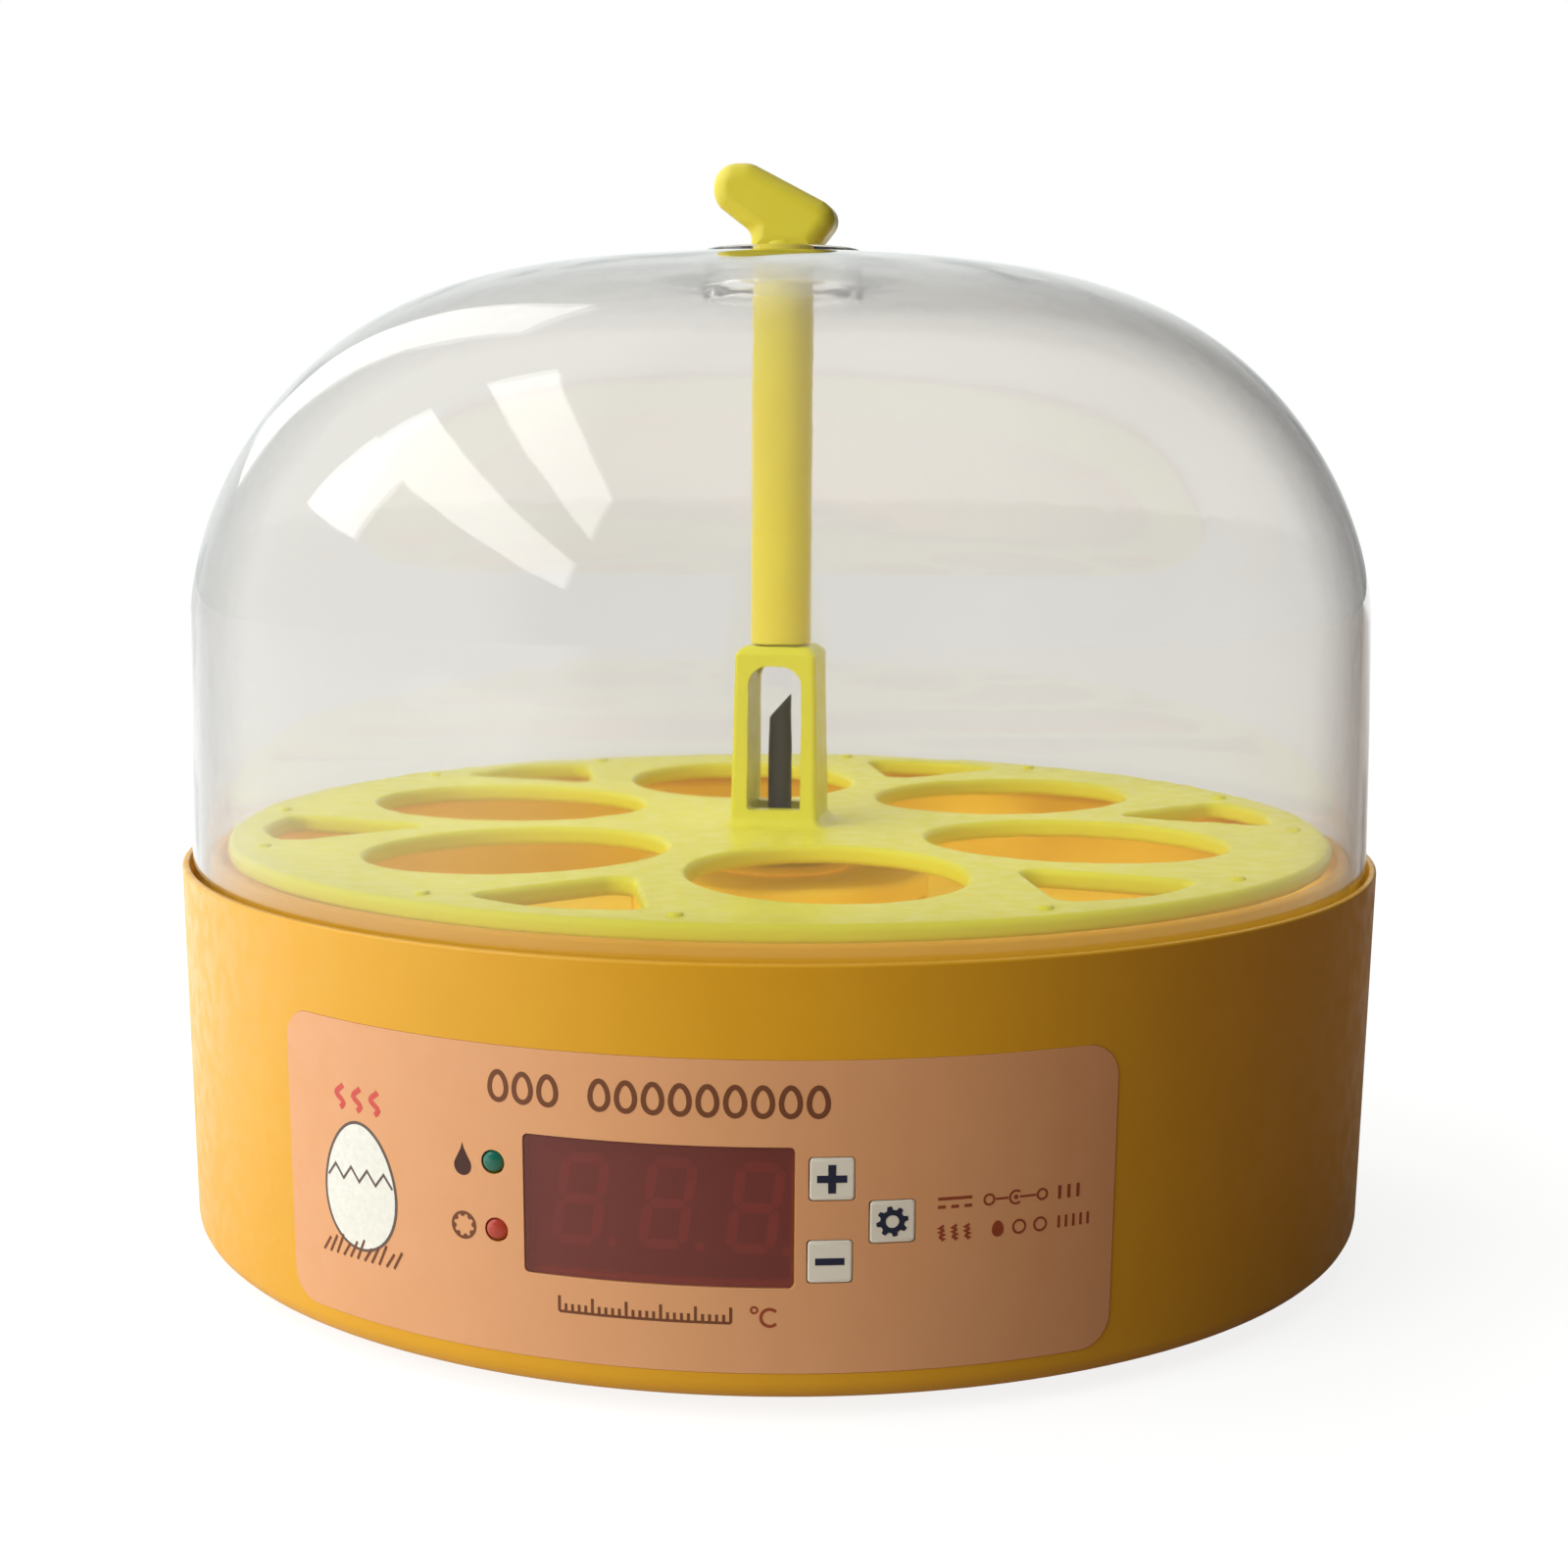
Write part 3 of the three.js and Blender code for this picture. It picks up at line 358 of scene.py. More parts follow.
FINISHES = {
    "orange_shell": moulded("orange_abs", ORANGE, 0.36, 0.025, 0.008, (0.70, 0.325, 0.01),
                            Specular_IOR_Level=0.45),
    # painted light: the pan and turret glow faintly, standing in for light through the plastic where the
    # tray shades them; the rim colour is painted shade
    "orange_pan": moulded("pan_abs_painted_light", PAN_PAINTED_LIT_ORANGE, 0.5, 0.04, dark=(0.87, 0.56, 0.04), rim=PAN_PAINTED_SHADE_ORANGE,
                          Specular_IOR_Level=0.15, Emission_Color=(0.72, 0.49, 0.03),
                          Emission_Strength=0.2),
    "lemon_tray": moulded("lemon_abs", LEMON, 0.34, 0.03, 0.012, (0.70, 0.61, 0.05),
                          Specular_IOR_Level=0.2),
    "lemon_handle": moulded("handle_abs", HANDLE_LEMON, 0.34, 0.04, 0.01, (0.72, 0.53, 0.03)),
    "clear_dome": clear_plastic("clear_styrene", (0.95, 0.945, 0.93), 0.03, 0.25),
    "panel_film": moulded("film", (0.74, 0.36, 0.18), 0.5, 0.03, 0.004, (0.71, 0.33, 0.15),
                          Specular_IOR_Level=0.45),
    "smoked_window": clear_plastic("smoked_acrylic", (0.31, 0.075, 0.068), 0.12, 0.03,
                                   Transmission_Weight=0.6),
    "grey_key": moulded("key_plastic", (0.82, 0.76, 0.69), 0.5, 0.03, 0.004),
    "black_plastic": moulded("black_abs", (0.018, 0.018, 0.02), 0.45, 0.15, 0.006),
    "white_plastic": moulded("acetal", (0.78, 0.77, 0.73), 0.4, 0.03, 0.006),
    "foot_rubber": moulded("rubber", (0.035, 0.035, 0.035), 0.8, 0.12),
    "zinc_screw": metal("zinc", (0.62, 0.63, 0.65), 0.32),
    "circuit_board": laminate("board_laminate", (0.02, 0.13, 0.06), (0.05, 0.24, 0.12)),
    "green_lens": moulded("green_lens", (0.01, 0.16, 0.11), 0.18, 0.2, dark=(0.0, 0.05, 0.06),
                          Coat_Weight=0.5),
    "red_lens": moulded("red_lens", (0.52, 0.06, 0.035), 0.18, 0.15, dark=(0.3, 0.02, 0.02),
                        Coat_Weight=0.5),
    "heater_sleeve": moulded("silicone", (0.45, 0.09, 0.04), 0.6, 0.1),
    "lead_black": moulded("lead_pvc", (0.02, 0.02, 0.02), 0.5, 0.1, 0.004),
    "lead_red": moulded("lead_silicone", (0.4, 0.03, 0.02), 0.5, 0.1, 0.004),
}
NODE_SLOT = {part["node"]: part["material_slot"] for part in frame["record"]["subparts"]}

# -------- mesh tools


def raw(name, points, faces):
    """A new mesh object from points in millimetres, with faces turned outward."""
    mesh = bpy.data.meshes.new(name)
    made = bmesh.new()
    corners = [made.verts.new(Vector(p) * MM) for p in points]
    for face in faces:
        unique = list(dict.fromkeys(face))
        if len(unique) > 2:
            made.faces.new([corners[i] for i in unique])
    bmesh.ops.remove_doubles(made, verts=made.verts, dist=1e-8)
    loose = [edge for edge in made.edges if not edge.link_faces]
    bmesh.ops.delete(made, geom=loose, context="EDGES")
    bmesh.ops.recalc_face_normals(made, faces=made.faces)
    if made.calc_volume(signed=True) < 0:
        bmesh.ops.reverse_faces(made, faces=made.faces)
    made.to_mesh(mesh)
    made.free()
    return add_object(name, mesh)


def applied(piece):
    """The piece with its modifiers turned into its mesh."""
    depsgraph = bpy.context.evaluated_depsgraph_get()
    mesh = bpy.data.meshes.new_from_object(piece.evaluated_get(depsgraph))
    piece.modifiers.clear()
    piece.data = mesh
    return piece


def combine(piece, others, operation="DIFFERENCE"):
    """Cuts the others out of the piece, or joins them to it, and closes any seam left open."""
    for other in others:
        step = piece.modifiers.new("step", "BOOLEAN")
        step.object = other
        step.operation = operation
        step.solver = "EXACT"
        applied(piece)
        bpy.data.objects.remove(other)
    made = bmesh.new()
    made.from_mesh(piece.data)
    bmesh.ops.remove_doubles(made, verts=made.verts, dist=0.001 * MM)
    bmesh.ops.holes_fill(made, edges=[edge for edge in made.edges if edge.is_boundary])
    made.to_mesh(piece.data)
    made.free()
    return piece


def bevelled(piece, width, segments=3, angle=40):
    step = piece.modifiers.new("edges", "BEVEL")
    step.width = width * MM
    step.segments = segments
    step.limit_method = "ANGLE"
    step.angle_limit = math.radians(angle)
    step.use_clamp_overlap = True
    return piece


def settle(piece, slot, body, nodes=(), sharp=35, material=None, weighted=True):
    """Smooths a finished piece, gives it its material and lets it ride on its body."""
    piece.data.shade_smooth()
    piece.data.set_sharp_from_angle(angle=math.radians(sharp))
    if weighted:
        step = piece.modifiers.new("normals", "WEIGHTED_NORMAL")
        step.keep_sharp = True
    piece.data.materials.clear()
    piece.data.materials.append(material or FINISHES[slot])
    if nodes:
        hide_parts(*nodes)
    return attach(piece, body)


def arc(centre, radius, start, end, steps):
    """Points on an arc, by angles in degrees, both ends included."""
    angles = [math.radians(start + (end - start) * i / steps) for i in range(steps + 1)]
    return [(centre[0] + radius * math.cos(a), centre[1] + radius * math.sin(a)) for a in angles]


def ellipse(width, height, steps=48, centre=(0, 0)):
    angles = [TURN * i / steps for i in range(steps)]
    return [(centre[0] + width / 2 * math.cos(a), centre[1] + height / 2 * math.sin(a)) for a in angles]


def softened(points, steps=5):
    """A closed outline with an arc at each corner that has a radius, given as (x, y, radius)."""
    outline = []
    for i, (x, y, *rest) in enumerate(points):
        if not rest:
            outline.append((x, y))
            continue
        here = Vector((x, y))
        back = (Vector(points[i - 1][:2]) - here).normalized()
        ahead = (Vector(points[(i + 1) % len(points)][:2]) - here).normalized()
        half = back.angle(ahead) / 2
        centre = here + (back + ahead).normalized() * rest[0] / math.sin(half)
        first = here + back * rest[0] / math.tan(half) - centre
        last = here + ahead * rest[0] / math.tan(half) - centre
        start = math.atan2(first.y, first.x)
        sweep = (math.atan2(last.y, last.x) - start + math.pi) % TURN - math.pi
        for k in range(steps + 1):
            a = start + sweep * k / steps
            outline.append((centre.x + rest[0] * math.cos(a), centre.y + rest[0] * math.sin(a)))
    return outline


def lathe(name, profile, sides=192):
    """A closed solid turned round Z from a closed outline of (radius, height) points."""
    rows = len(profile)
    points = []
    faces = []
    for i in range(sides):
        a = TURN * i / sides
        points += [(r * math.cos(a), r * math.sin(a), z) for r, z in profile]
        here, there = i * rows, (i + 1) % sides * rows
        for k in range(rows):
            m = (k + 1) % rows
            faces.append((here + k, there + k, there + m, here + m))
    return raw(name, points, faces)


def signed_area(outline):
    return sum(a[0] * b[1] - b[0] * a[1] for a, b in zip(outline, outline[1:] + outline[:1])) / 2


def mitre(before, after, least):
    """The way from a corner to the same corner of a line drawn one unit to the left."""
    turned = Vector((-after.y, after.x)).normalized()
    left = (Vector((-before.y, before.x)).normalized() + turned).normalized()
    return left / max(least, left.dot(turned))


def inset(outline, distance):
    """The outline moved to its left by a distance, with mitred corners."""
    moved = []
    for i, here in enumerate(outline):
        before = Vector(here) - Vector(outline[i - 1])
        after = Vector(outline[(i + 1) % len(outline)]) - Vector(here)
        moved.append(tuple(Vector(here) + mitre(before, after, 0.4) * distance))
    return moved


def rounded_levels(low, high, edge, steps):
    """(inset, height) pairs up the side of a plate whose two edges are rounded."""
    quarter = [math.pi / 2 * k / steps for k in range(steps + 1)]
    levels = [(edge * (1 - math.sin(a)), low + edge * (1 - math.cos(a))) for a in quarter]
    return levels + [(drawn_in, low + high - height) for drawn_in, height in reversed(levels)]


def plate(name, outline, holes, low, high, edge, steps=4, place=None):
    """A flat plate with rounded edges. Place maps (x, y, height) to its final position."""
    loops = [outline if signed_area(outline) > 0 else outline[::-1]]
    loops += [hole if signed_area(hole) < 0 else hole[::-1] for hole in holes]
    levels = rounded_levels(low, high, edge, steps)
    points = []
    faces = []
    count = sum(len(loop) for loop in loops)
    for drawn_in, height in levels:
        for loop in loops:
            points += [(x, y, height) for x, y in inset(loop, drawn_in)]
    for level in range(len(levels) - 1):
        first = level * count
        for loop in loops:
            n = len(loop)
            for i in range(n):
                a, b = first + i, first + (i + 1) % n
                faces.append((a, b, b + count, a + count))
            first += n
    flat = [[Vector((x, y, 0)) for x, y in inset(loop, edge)] for loop in loops]
    cap = tessellate_polygon(flat)
    faces += [tuple(t) for t in cap]
    faces += [tuple(i + count * (len(levels) - 1) for i in t) for t in cap]
    return raw(name, [place(*p) for p in points] if place else points, faces)


def loft(name, loops):
    """A closed solid through a stack of loops with the same number of points."""
    n = len(loops[0])
    faces = [tuple(range(n)), tuple(range((len(loops) - 1) * n, len(loops) * n))]
    for level in range(len(loops) - 1):
        for i in range(n):
            a, b = level * n + i, level * n + (i + 1) % n
            faces.append((a, b, b + n, a + n))
    return raw(name, [p for loop in loops for p in loop], faces)


def rounded_square(side, corner, height, steps=5):
    half = side / 2
    square = [(half, -half, corner), (half, half, corner), (-half, half, corner), (-half, -half, corner)]
    return [(x, y, height) for x, y in softened(square, steps)]


def cutter_box(low, high):
    (x0, y0, z0), (x1, y1, z1) = low, high
    outline = [(x0, y0), (x1, y0), (x1, y1), (x0, y1)]
    return loft("cutter", [[(x, y, z) for x, y in outline] for z in (z0, z1)])


def rod(radius, low, high, x=0.0, y=0.0, sides=32):
    ring = [(x + px, y + py) for px, py in ellipse(2 * radius, 2 * radius, sides)]
    return loft("rod", [[(px, py, z) for px, py in ring] for z in (low, high)])


def four_rods(radius, low, high, reach):
    return [rod(radius, low, high, x, y) for x in (-reach, reach) for y in (-reach, reach)]


def rod_along_y(radius, near, far, x, z, sides=48):
    ring = ellipse(2 * radius, 2 * radius, sides, (x, z))
    return loft("rod", [[(px, y, pz) for px, pz in ring] for y in (near, far)])


def turned_by(piece, degrees):
    piece.data.transform(Matrix.Rotation(math.radians(degrees), 4, "Z"))
    return piece


# -------- the curved wall


def wall_radius(z):
    return BOTTOM_RADIUS + (RIM_RADIUS - BOTTOM_RADIUS) * (z - BASE_BOTTOM) / (RIM - BASE_BOTTOM)


def on_wall(s, z, depth=0.0):
    """The point at an arc length from the panel's centre line and a height, below the wall's face."""
    a = s / FACE_RADIUS
    r = wall_radius(z) - depth
    return (r * math.sin(a), -r * math.cos(a), z)


def wall_slab(name, centre, width, low, high, corner, outer, inner):
    """A slab that follows the wall between two depths below its face, with rounded corners."""
    steps = 6
    bend = [math.pi / 2 * k / steps for k in range(steps)]
    flat = width - 2 * corner
    count = max(2, round(flat / 3))
    columns = [(-width / 2 + corner * (1 - math.cos(a)), corner * (1 - math.sin(a))) for a in bend]
    middle = [(flat * (i / count - 0.5), 0.0) for i in range(count + 1)]
    columns = columns + middle + [(-s, drawn) for s, drawn in reversed(columns)]
    loops = []
    for s, drawn in columns:
        section = [(low + drawn, outer), (high - drawn, outer), (high - drawn, inner), (low + drawn, inner)]
        loops.append([on_wall(centre + s, z, depth) for z, depth in section])
    return loft(name, loops)


def display_slab(name, grow, corner, outer, inner):
    return wall_slab(
        name, DISPLAY_ARC, DISPLAY_WIDTH + 2 * grow,
        DISPLAY_HEIGHT - DISPLAY_TALL / 2 - grow, DISPLAY_HEIGHT + DISPLAY_TALL / 2 + grow,
        corner, outer, inner,
    )


def panel_slab(name, grow, outer, inner):
    return wall_slab(
        name, 0.0, PANEL_WIDTH + 2 * grow, PANEL_LOW - grow, PANEL_HIGH + grow,
        PANEL_CORNER + grow, outer, inner,
    )


def key_outline(side, corner):
    return [(x, y) for x, y, _ in rounded_square(side, corner, 0)]


def control_cutters(grow):
    """Passages for the keys and lamps, straight through the wall along Y."""
    near, far = -RIM_RADIUS - 2, LAMP_BACK
    cutters = []
    for s, z in KEYS.values():
        x = on_wall(s, z)[0]
        ring = [(x + px, z + pz) for px, pz in key_outline(KEY_SIDE + 2 * grow, KEY_CORNER)]
        cutters.append(loft("cutter", [[(px, y, pz) for px, pz in ring] for y in (near, far)]))
    for s, z in LAMPS.values():
        cutters.append(rod_along_y(LAMP_RADIUS + grow, near, far, on_wall(s, z)[0], z))
    return cutters


# -------- base shell


def base_shell():
    body = lathe("base_shell_body", softened([
        (100.3, BASE_BOTTOM), (wall_radius(BASE_BOTTOM), BASE_BOTTOM, 3.2), (RIM_RADIUS, RIM, 0.45),
        (103.8, RIM, 0.3), (103.8, LEDGE), (99.6, LEDGE), (99.6, LEDGE - 2), (SHELL_INSIDE, LEDGE - 4),
        (SHELL_INSIDE, 8.5), (98.6, 6.6), (98.6, 5), (100.3, 5),
    ]))
    outer, inner, half, middle = 99.0, 96.5, 10.0, 22.0
    pocket_wall = cutter_box((-half - 2, inner, middle - 11), (half + 2, 102.2, middle + 11))
    combine(body, [pocket_wall], "UNION")
    combine(body, [
        cutter_box((-half, outer, middle - 9), (half, RIM_RADIUS + 2, middle + 9)),
        rod_along_y(4.3, inner - 1, outer + 1, 0, middle),
        panel_slab("cutter", 0.05, -1, FILM_SEAT),
        display_slab("cutter", 0.3, 0.8, 0, 2.2),
        display_slab("cutter", -0.5, 0.8, 1.5, 6),
        *control_cutters(0.15),
    ])
    settle(body, "orange_shell", "base", ["base_shell"], sharp=30)


# -------- water pan


def water_pan():
    """The dish with its water channel, the fan's bosses on it and the cover's posts under it."""
    dish = lathe("water_pan_dish", softened([
        (19.2, PAN_FLOOR - PAN_SHEET), (83.5, PAN_FLOOR - PAN_SHEET),
        (83.8, 41.4, 0.8), (97.6, 41.4, 1.2), (98.4, 43.6), (98.8, 52), (99.3, 59.9),
        (103.4, 59.9, 0.3), (103.4, 61.9, 0.4), (100.6, 61.9, 0.6),
        (100.3, PAN_TOP, 0.6), (98.4, PAN_TOP, 0.6), (98.1, 60), (96.4, 52),
        (96.2, 43.4, 1.6), (85.5, 43.4, 1.6), (85.2, PAN_FLOOR, 1.2), (19.2, PAN_FLOOR),
    ]))
    posts = four_rods(3.6, 7.8, PAN_FLOOR - 0.5, COVER_POSTS)
    bosses = four_rods(3, PAN_FLOOR - 0.5, 52.2, FAN_BOSSES)
    combine(dish, posts + bosses, "UNION")
    settle(dish, "orange_pan", "base", ["water_pan"])


def fan_housing():
    """The turret over the fan and heater, with air windows round it and the tray's spigot on top."""
    foot = PAN_FLOOR + 0.3
    shell = lathe("fan_housing_shell", softened([
        (25, foot), (TURRET_RADIUS, foot), (TURRET_RADIUS, TURRET_TOP, 1.2), (8.2, TURRET_TOP),
        (8.2, 68, 0.6), (2.6, 68), (2.6, TURRET_TOP - 2), (25, TURRET_TOP - 2),
    ]), 96)
    windows = [turned_by(cutter_box((23, -4, 51), (29, 4, 58)), 15 + 30 * i) for i in range(12)]
    combine(shell, windows + four_rods(3.3, foot - 1, 54, FAN_BOSSES))
    settle(shell, "orange_pan", "base", ["fan_housing"])


# -------- egg tray


def radial(azimuth, across, along):
    """A place given across and along a radius, at an azimuth from -Y towards +X."""
    a = math.radians(azimuth)
    return (along * math.sin(a) + across * math.cos(a), -along * math.cos(a) + across * math.sin(a))


def egg_hole(azimuth):
    return [radial(azimuth, x, y + HOLE_REACH) for x, y in ellipse(2 * HOLE_ACROSS, 2 * HOLE_RADIAL, 72)]


def triangle_hole(azimuth):
    """A rounded triangular window, its point towards the axis and its outer side bowed."""
    outline = softened([(0, 61.5, 3), (15, 87.2, 3), (0, 91.8, 20), (-15, 87.2, 3)], 6)
    return [radial(azimuth, x, y) for x, y in outline]


def egg_tray():
    step = 60  # degrees between holes
    holes = [egg_hole(HOLE_TURN + step * i) for i in range(6)]
    holes += [triangle_hole(HOLE_TURN + 30 + step * i) for i in range(6)]
    rim = ellipse(2 * TRAY_RADIUS, 2 * TRAY_RADIUS, 192)
    disc = plate("egg_tray_plate", rim, holes, TRAY_TOP - TRAY_THICKNESS, TRAY_TOP, 1.1)
    hub = lathe("hub", softened([
        (0, 63.9), (14, 63.9, 0.5), (14, TRAY_TOP - 0.6), (0, TRAY_TOP - 0.6)]), 96)
    pips = []
    for i in range(12):
        foot, top = TRAY_TOP - 0.4, TRAY_TOP + 0.5
        pip = lathe("pip", softened([(0, foot), (1.3, foot), (1.1, top, 0.4), (0, top)]), 24)
        x, y = radial(HOLE_TURN + step * (i // 2) + (-17 if i % 2 else 17), 0, 92)
        pip.data.transform(Matrix.Translation((x * MM, y * MM, 0)))
        pips.append(pip)
    combine(disc, [hub, *pips], "UNION")
    socket = loft("cutter", [
        [(*radial(60 * k, 0, 11.3), z) for k in range(6)] for z in (60, 68.4)])
    combine(disc, [socket, rod(PLUG_HOLE, 68, 74)])
    settle(disc, "lemon_tray", "tray", ["egg_tray"], sharp=32)


def tray_post():
    """The square post with a see-through window, flared where it meets the tray."""
    flare = 1.7
    loops = []
    for k in range(7):
        a = math.pi / 2 * k / 6
        out = flare * (1 - math.sin(a))
        height = TRAY_TOP + flare * (1 - math.cos(a))
        loops.append(rounded_square(POST_BASE + 2 * out, 0.9 + 0.6 * out, height))
    loops.insert(0, rounded_square(POST_BASE + 2 * flare, 1.9, TRAY_TOP - 0.5))
    tops = ((0, POST_SHOULDER), (0.7, POST_SHOULDER + 0.5), (2.6, POST_TOP - 0.15), (3.4, POST_TOP))
    loops += [rounded_square(POST_TOP_SIDE - less, 0.9, z) for less, z in tops]
    post = loft("egg_tray_post", loops)
    half = POST_CAVITY / 2
    window = softened([
        (half, POST_SILL, 0.5), (half, POST_HEAD, 3.6), (-half, POST_HEAD, 3.6), (-half, POST_SILL, 0.5)])
    through = loft("cutter", [[(x, y, z) for x, z in window] for y in (-12, 12)])
    cavity = cutter_box((-half, -half, TRAY_TOP + 1.2), (half, half, POST_HEAD))
    plug = cutter_box((-PLUG_HOLE, -PLUG_HOLE, 96), (PLUG_HOLE, PLUG_HOLE, 105))
    combine(post, [through, cavity, rod(PLUG_HOLE, 68, 74), plug])
    bevelled(post, 0.45, 3, 50)
    settle(post, "lemon_tray", "tray", sharp=40)


# -------- turning handle


GRIP = [
    (-5.3, 170.4, 0.8),
    (5.7, 170.4, 1.5),
    (10.4, 176.4, 2.9),
    (7.6, 179.0, 2.9),
    (-5.4, 185.8, 4.2),
    (-11.9, 185.7, 4.0),
    (-12.0, 179.0, 4.2),
    (-5.3, 174.0, 3.0),
]


def soft_bar(name, corners, low, high, edge, place, steps=6):
    """A bar with a rounded outline and rounded edges, from (x, y, radius) corners."""
    sharp = [(x, y) for x, y, _ in corners]
    loops = []
    for drawn_in, height in rounded_levels(low, high, edge, steps):
        moved = inset(sharp, drawn_in)
        rounded = [(x, y, max(0.3, r - drawn_in)) for (x, y), (_, _, r) in zip(moved, corners)]
        loops.append([place(x, y, height) for x, y in softened(rounded, 6)])
    return loft(name, loops)


def turning_handle():
    """A round shaft whose top bends into a short leaning bar with soft edges."""
    grip = soft_bar("turning_handle_piece", GRIP, -GRIP_DEPTH / 2, GRIP_DEPTH / 2, 2.9,
                    lambda x, z, y: (x, y, z))
    shaft = lathe("shaft", softened([
        (0, 98.9), (3.1, 98.9), (3.1, 102.2), (SHAFT_RADIUS, 102.2, 0.4), (SHAFT_RADIUS, NECK + 1.6, 2.2),
        (0, NECK + 1.6)]), 64)
    combine(grip, [shaft], "UNION")
    settle(grip, "lemon_handle", "handle", ["turning_handle"], sharp=45)


# -------- probe


def temperature_probe():
    """A black sleeve with a slanting tip, and a collar under the turret's top."""
    sleeve = lathe("temperature_probe_sleeve", softened([
        (0, probe_low.z), (4, probe_low.z), (4, 59.7), (2.1, 59.7), (2.1, 80), (1.95, 94), (0, 94)]), 48)
    slant = cutter_box((-9, -6, 0), (9, 6, 9))
    slant.data.transform(
        Matrix.Translation(Vector((2.1, 0, 93.4)) * MM) @ Matrix.Rotation(math.radians(-48), 4, "Y"))
    combine(sleeve, [slant])
    bevelled(sleeve, 0.3, 3, 30)
    settle(sleeve, "black_plastic", "base", ["temperature_probe"], sharp=40)


# -------- dome


def dome_profile():
    """The outer line of the wall and crown, then the collar, then the inner line back down."""
    outer = [(DOME_RADIUS - 0.012 * (z - dome_low.z), z) for z in range(64, 108, 4)]
    steps = 60
    for k in range(steps + 1):
        a = math.pi / 2 * k / (steps + 1.2)
        radius = DOME_SHOULDER_RADIUS * math.cos(a) ** CROWN_POWER
        if radius < 20:
            break
        outer.append((radius, DOME_SHOULDER + (DOME_TOP - DOME_SHOULDER) * math.sin(a) ** RISE_POWER))
    inner = []
    for i, (r, z) in enumerate(outer):
        r0, z0 = outer[max(0, i - 1)]
        r1, z1 = outer[min(len(outer) - 1, i + 1)]
        normal = Vector((z1 - z0, r0 - r1)).normalized()
        inner.append((r - normal.x * DOME_WALL, z - normal.y * DOME_WALL))
    inside = DOME_RADIUS - DOME_WALL
    low, start = dome_low.z, 63.6
    foot = softened([(inside, start), (inside, low, 0.6), (DOME_RADIUS, low, 0.6), (DOME_RADIUS, start)])
    collar = softened([
        (17.2, DOME_TOP - 0.35, 1.5), (14.2, DOME_TOP + 0.3, 1.0), (13.7, dome_high.z - 0.5, 0.45),
        (COLLAR_HOLE, dome_high.z - 0.5, 0.45), (COLLAR_HOLE, COLLAR_LOW, 0.5), (14.0, COLLAR_LOW, 0.4),
        (14.4, DOME_TOP - 2.5, 1.5), (20, DOME_TOP - 2.2),
    ], 4)
    return foot[1:-1] + outer + collar[:-1] + inner[::-1]


def dome():
    shell = lathe("dome_shell", dome_profile(), 256)
    settle(shell, "clear_dome", "dome", ["dome"], sharp=40)
    shell.visible_shadow = False  # light from the lamps reaches the tray through the clear wall


# -------- control panel


def control_film():
    film = panel_slab("control_film_sheet", 0.0, -FILM_PROUD, FILM_SEAT - 0.05)
    combine(film, [display_slab("cutter", 0.05, 0.8, -1, 2), *control_cutters(0.1)])
    bevelled(film, 0.06, 2, 60)
    settle(film, "panel_film", "base", ["control_film"], sharp=30)


def display_window():
    pane = display_slab("display_window_pane", -0.05, 0.8, 0.05, 1.9)
    bevelled(pane, 0.15, 2, 60)
    settle(pane, "smoked_window", "base", ["display_window"], sharp=30)
    pane.visible_shadow = False


def key_place(s, z, outward):
    """Maps (x, z, distance) round a key's centre to the curved face of its cap."""
    x0 = on_wall(s, z)[0]
    face = wall_radius(z) + KEY_PROUD

    def place(px, pz, distance):
        x = x0 + px
        return (x, -math.sqrt(face * face - x * x) - outward * distance, z + pz)

    return place


def key_cap(name, s, z):
    """A cap whose face follows the wall, with the flange and stem that stay behind it."""
    x0 = on_wall(s, z)[0]
    outline = key_outline(KEY_SIDE, KEY_CORNER)
    cap = plate(f"{name}_key_cap", outline, [], 0.0, 5.0, 0.3, 3, key_place(s, z, -1))
    low, high = corners_mm(f"{name}_button")
    flange_face = -math.sqrt(SHELL_INSIDE**2 - (abs(x0) + 4.3) ** 2) + 0.4
    flange = cutter_box((low.x, flange_face, low.z), (high.x, flange_face + 1.1, high.z))
    stem = rod_along_y(1.5, flange_face + 0.5, high.y, x0, z, 24)
    combine(cap, [flange, stem], "UNION")
    settle(cap, "grey_key", f"{name}_key", [f"{name}_button"], sharp=40)


def lamp(name, s, z):
    """A lamp's clear body, its rounded end just proud of the film, with two legs to the board."""
    x, y, _ = on_wall(s, z)
    _, high = corners_mm(f"{name}_lamp")
    back = LAMP_BACK
    lens = lathe(f"{name}_lamp_lens", softened([
        (0, -back), (LAMP_RADIUS + 0.5, -back), (LAMP_RADIUS + 0.5, 1 - back), (LAMP_RADIUS, 1 - back),
        (LAMP_RADIUS, -y - 0.2, 0.9), (0, -y + 0.35)], 6), 48)
    lens.data.transform(Matrix.Translation((x * MM, 0, z * MM)) @ Matrix.Rotation(math.pi / 2, 4, "X"))
    legs = []
    for at in (x - 1.27, x + 1.27):
        legs.append(cutter_box((at - 0.3, back - 0.5, z - 0.3), (at + 0.3, high.y, z + 0.3)))
    combine(lens, legs, "UNION")
    settle(lens, f"{name}_lens", "base", [f"{name}_lamp"], sharp=40)


# -------- print


def ribbon(points, width, closed=False):
    """A line of a given width, as (outline, outline) bands."""
    line = [Vector(p) for p in points]
    n = len(line)
    sides = []
    for i, here in enumerate(line):
        before = here - line[i - 1] if closed or i else line[1] - here
        after = line[(i + 1) % n] - here if closed or i < n - 1 else before
        sides.append(mitre(before, after, 0.5) * width / 2)
    left = [tuple(p + d) for p, d in zip(line, sides)]
    right = [tuple(p - d) for p, d in zip(line, sides)]
    return left, right, closed


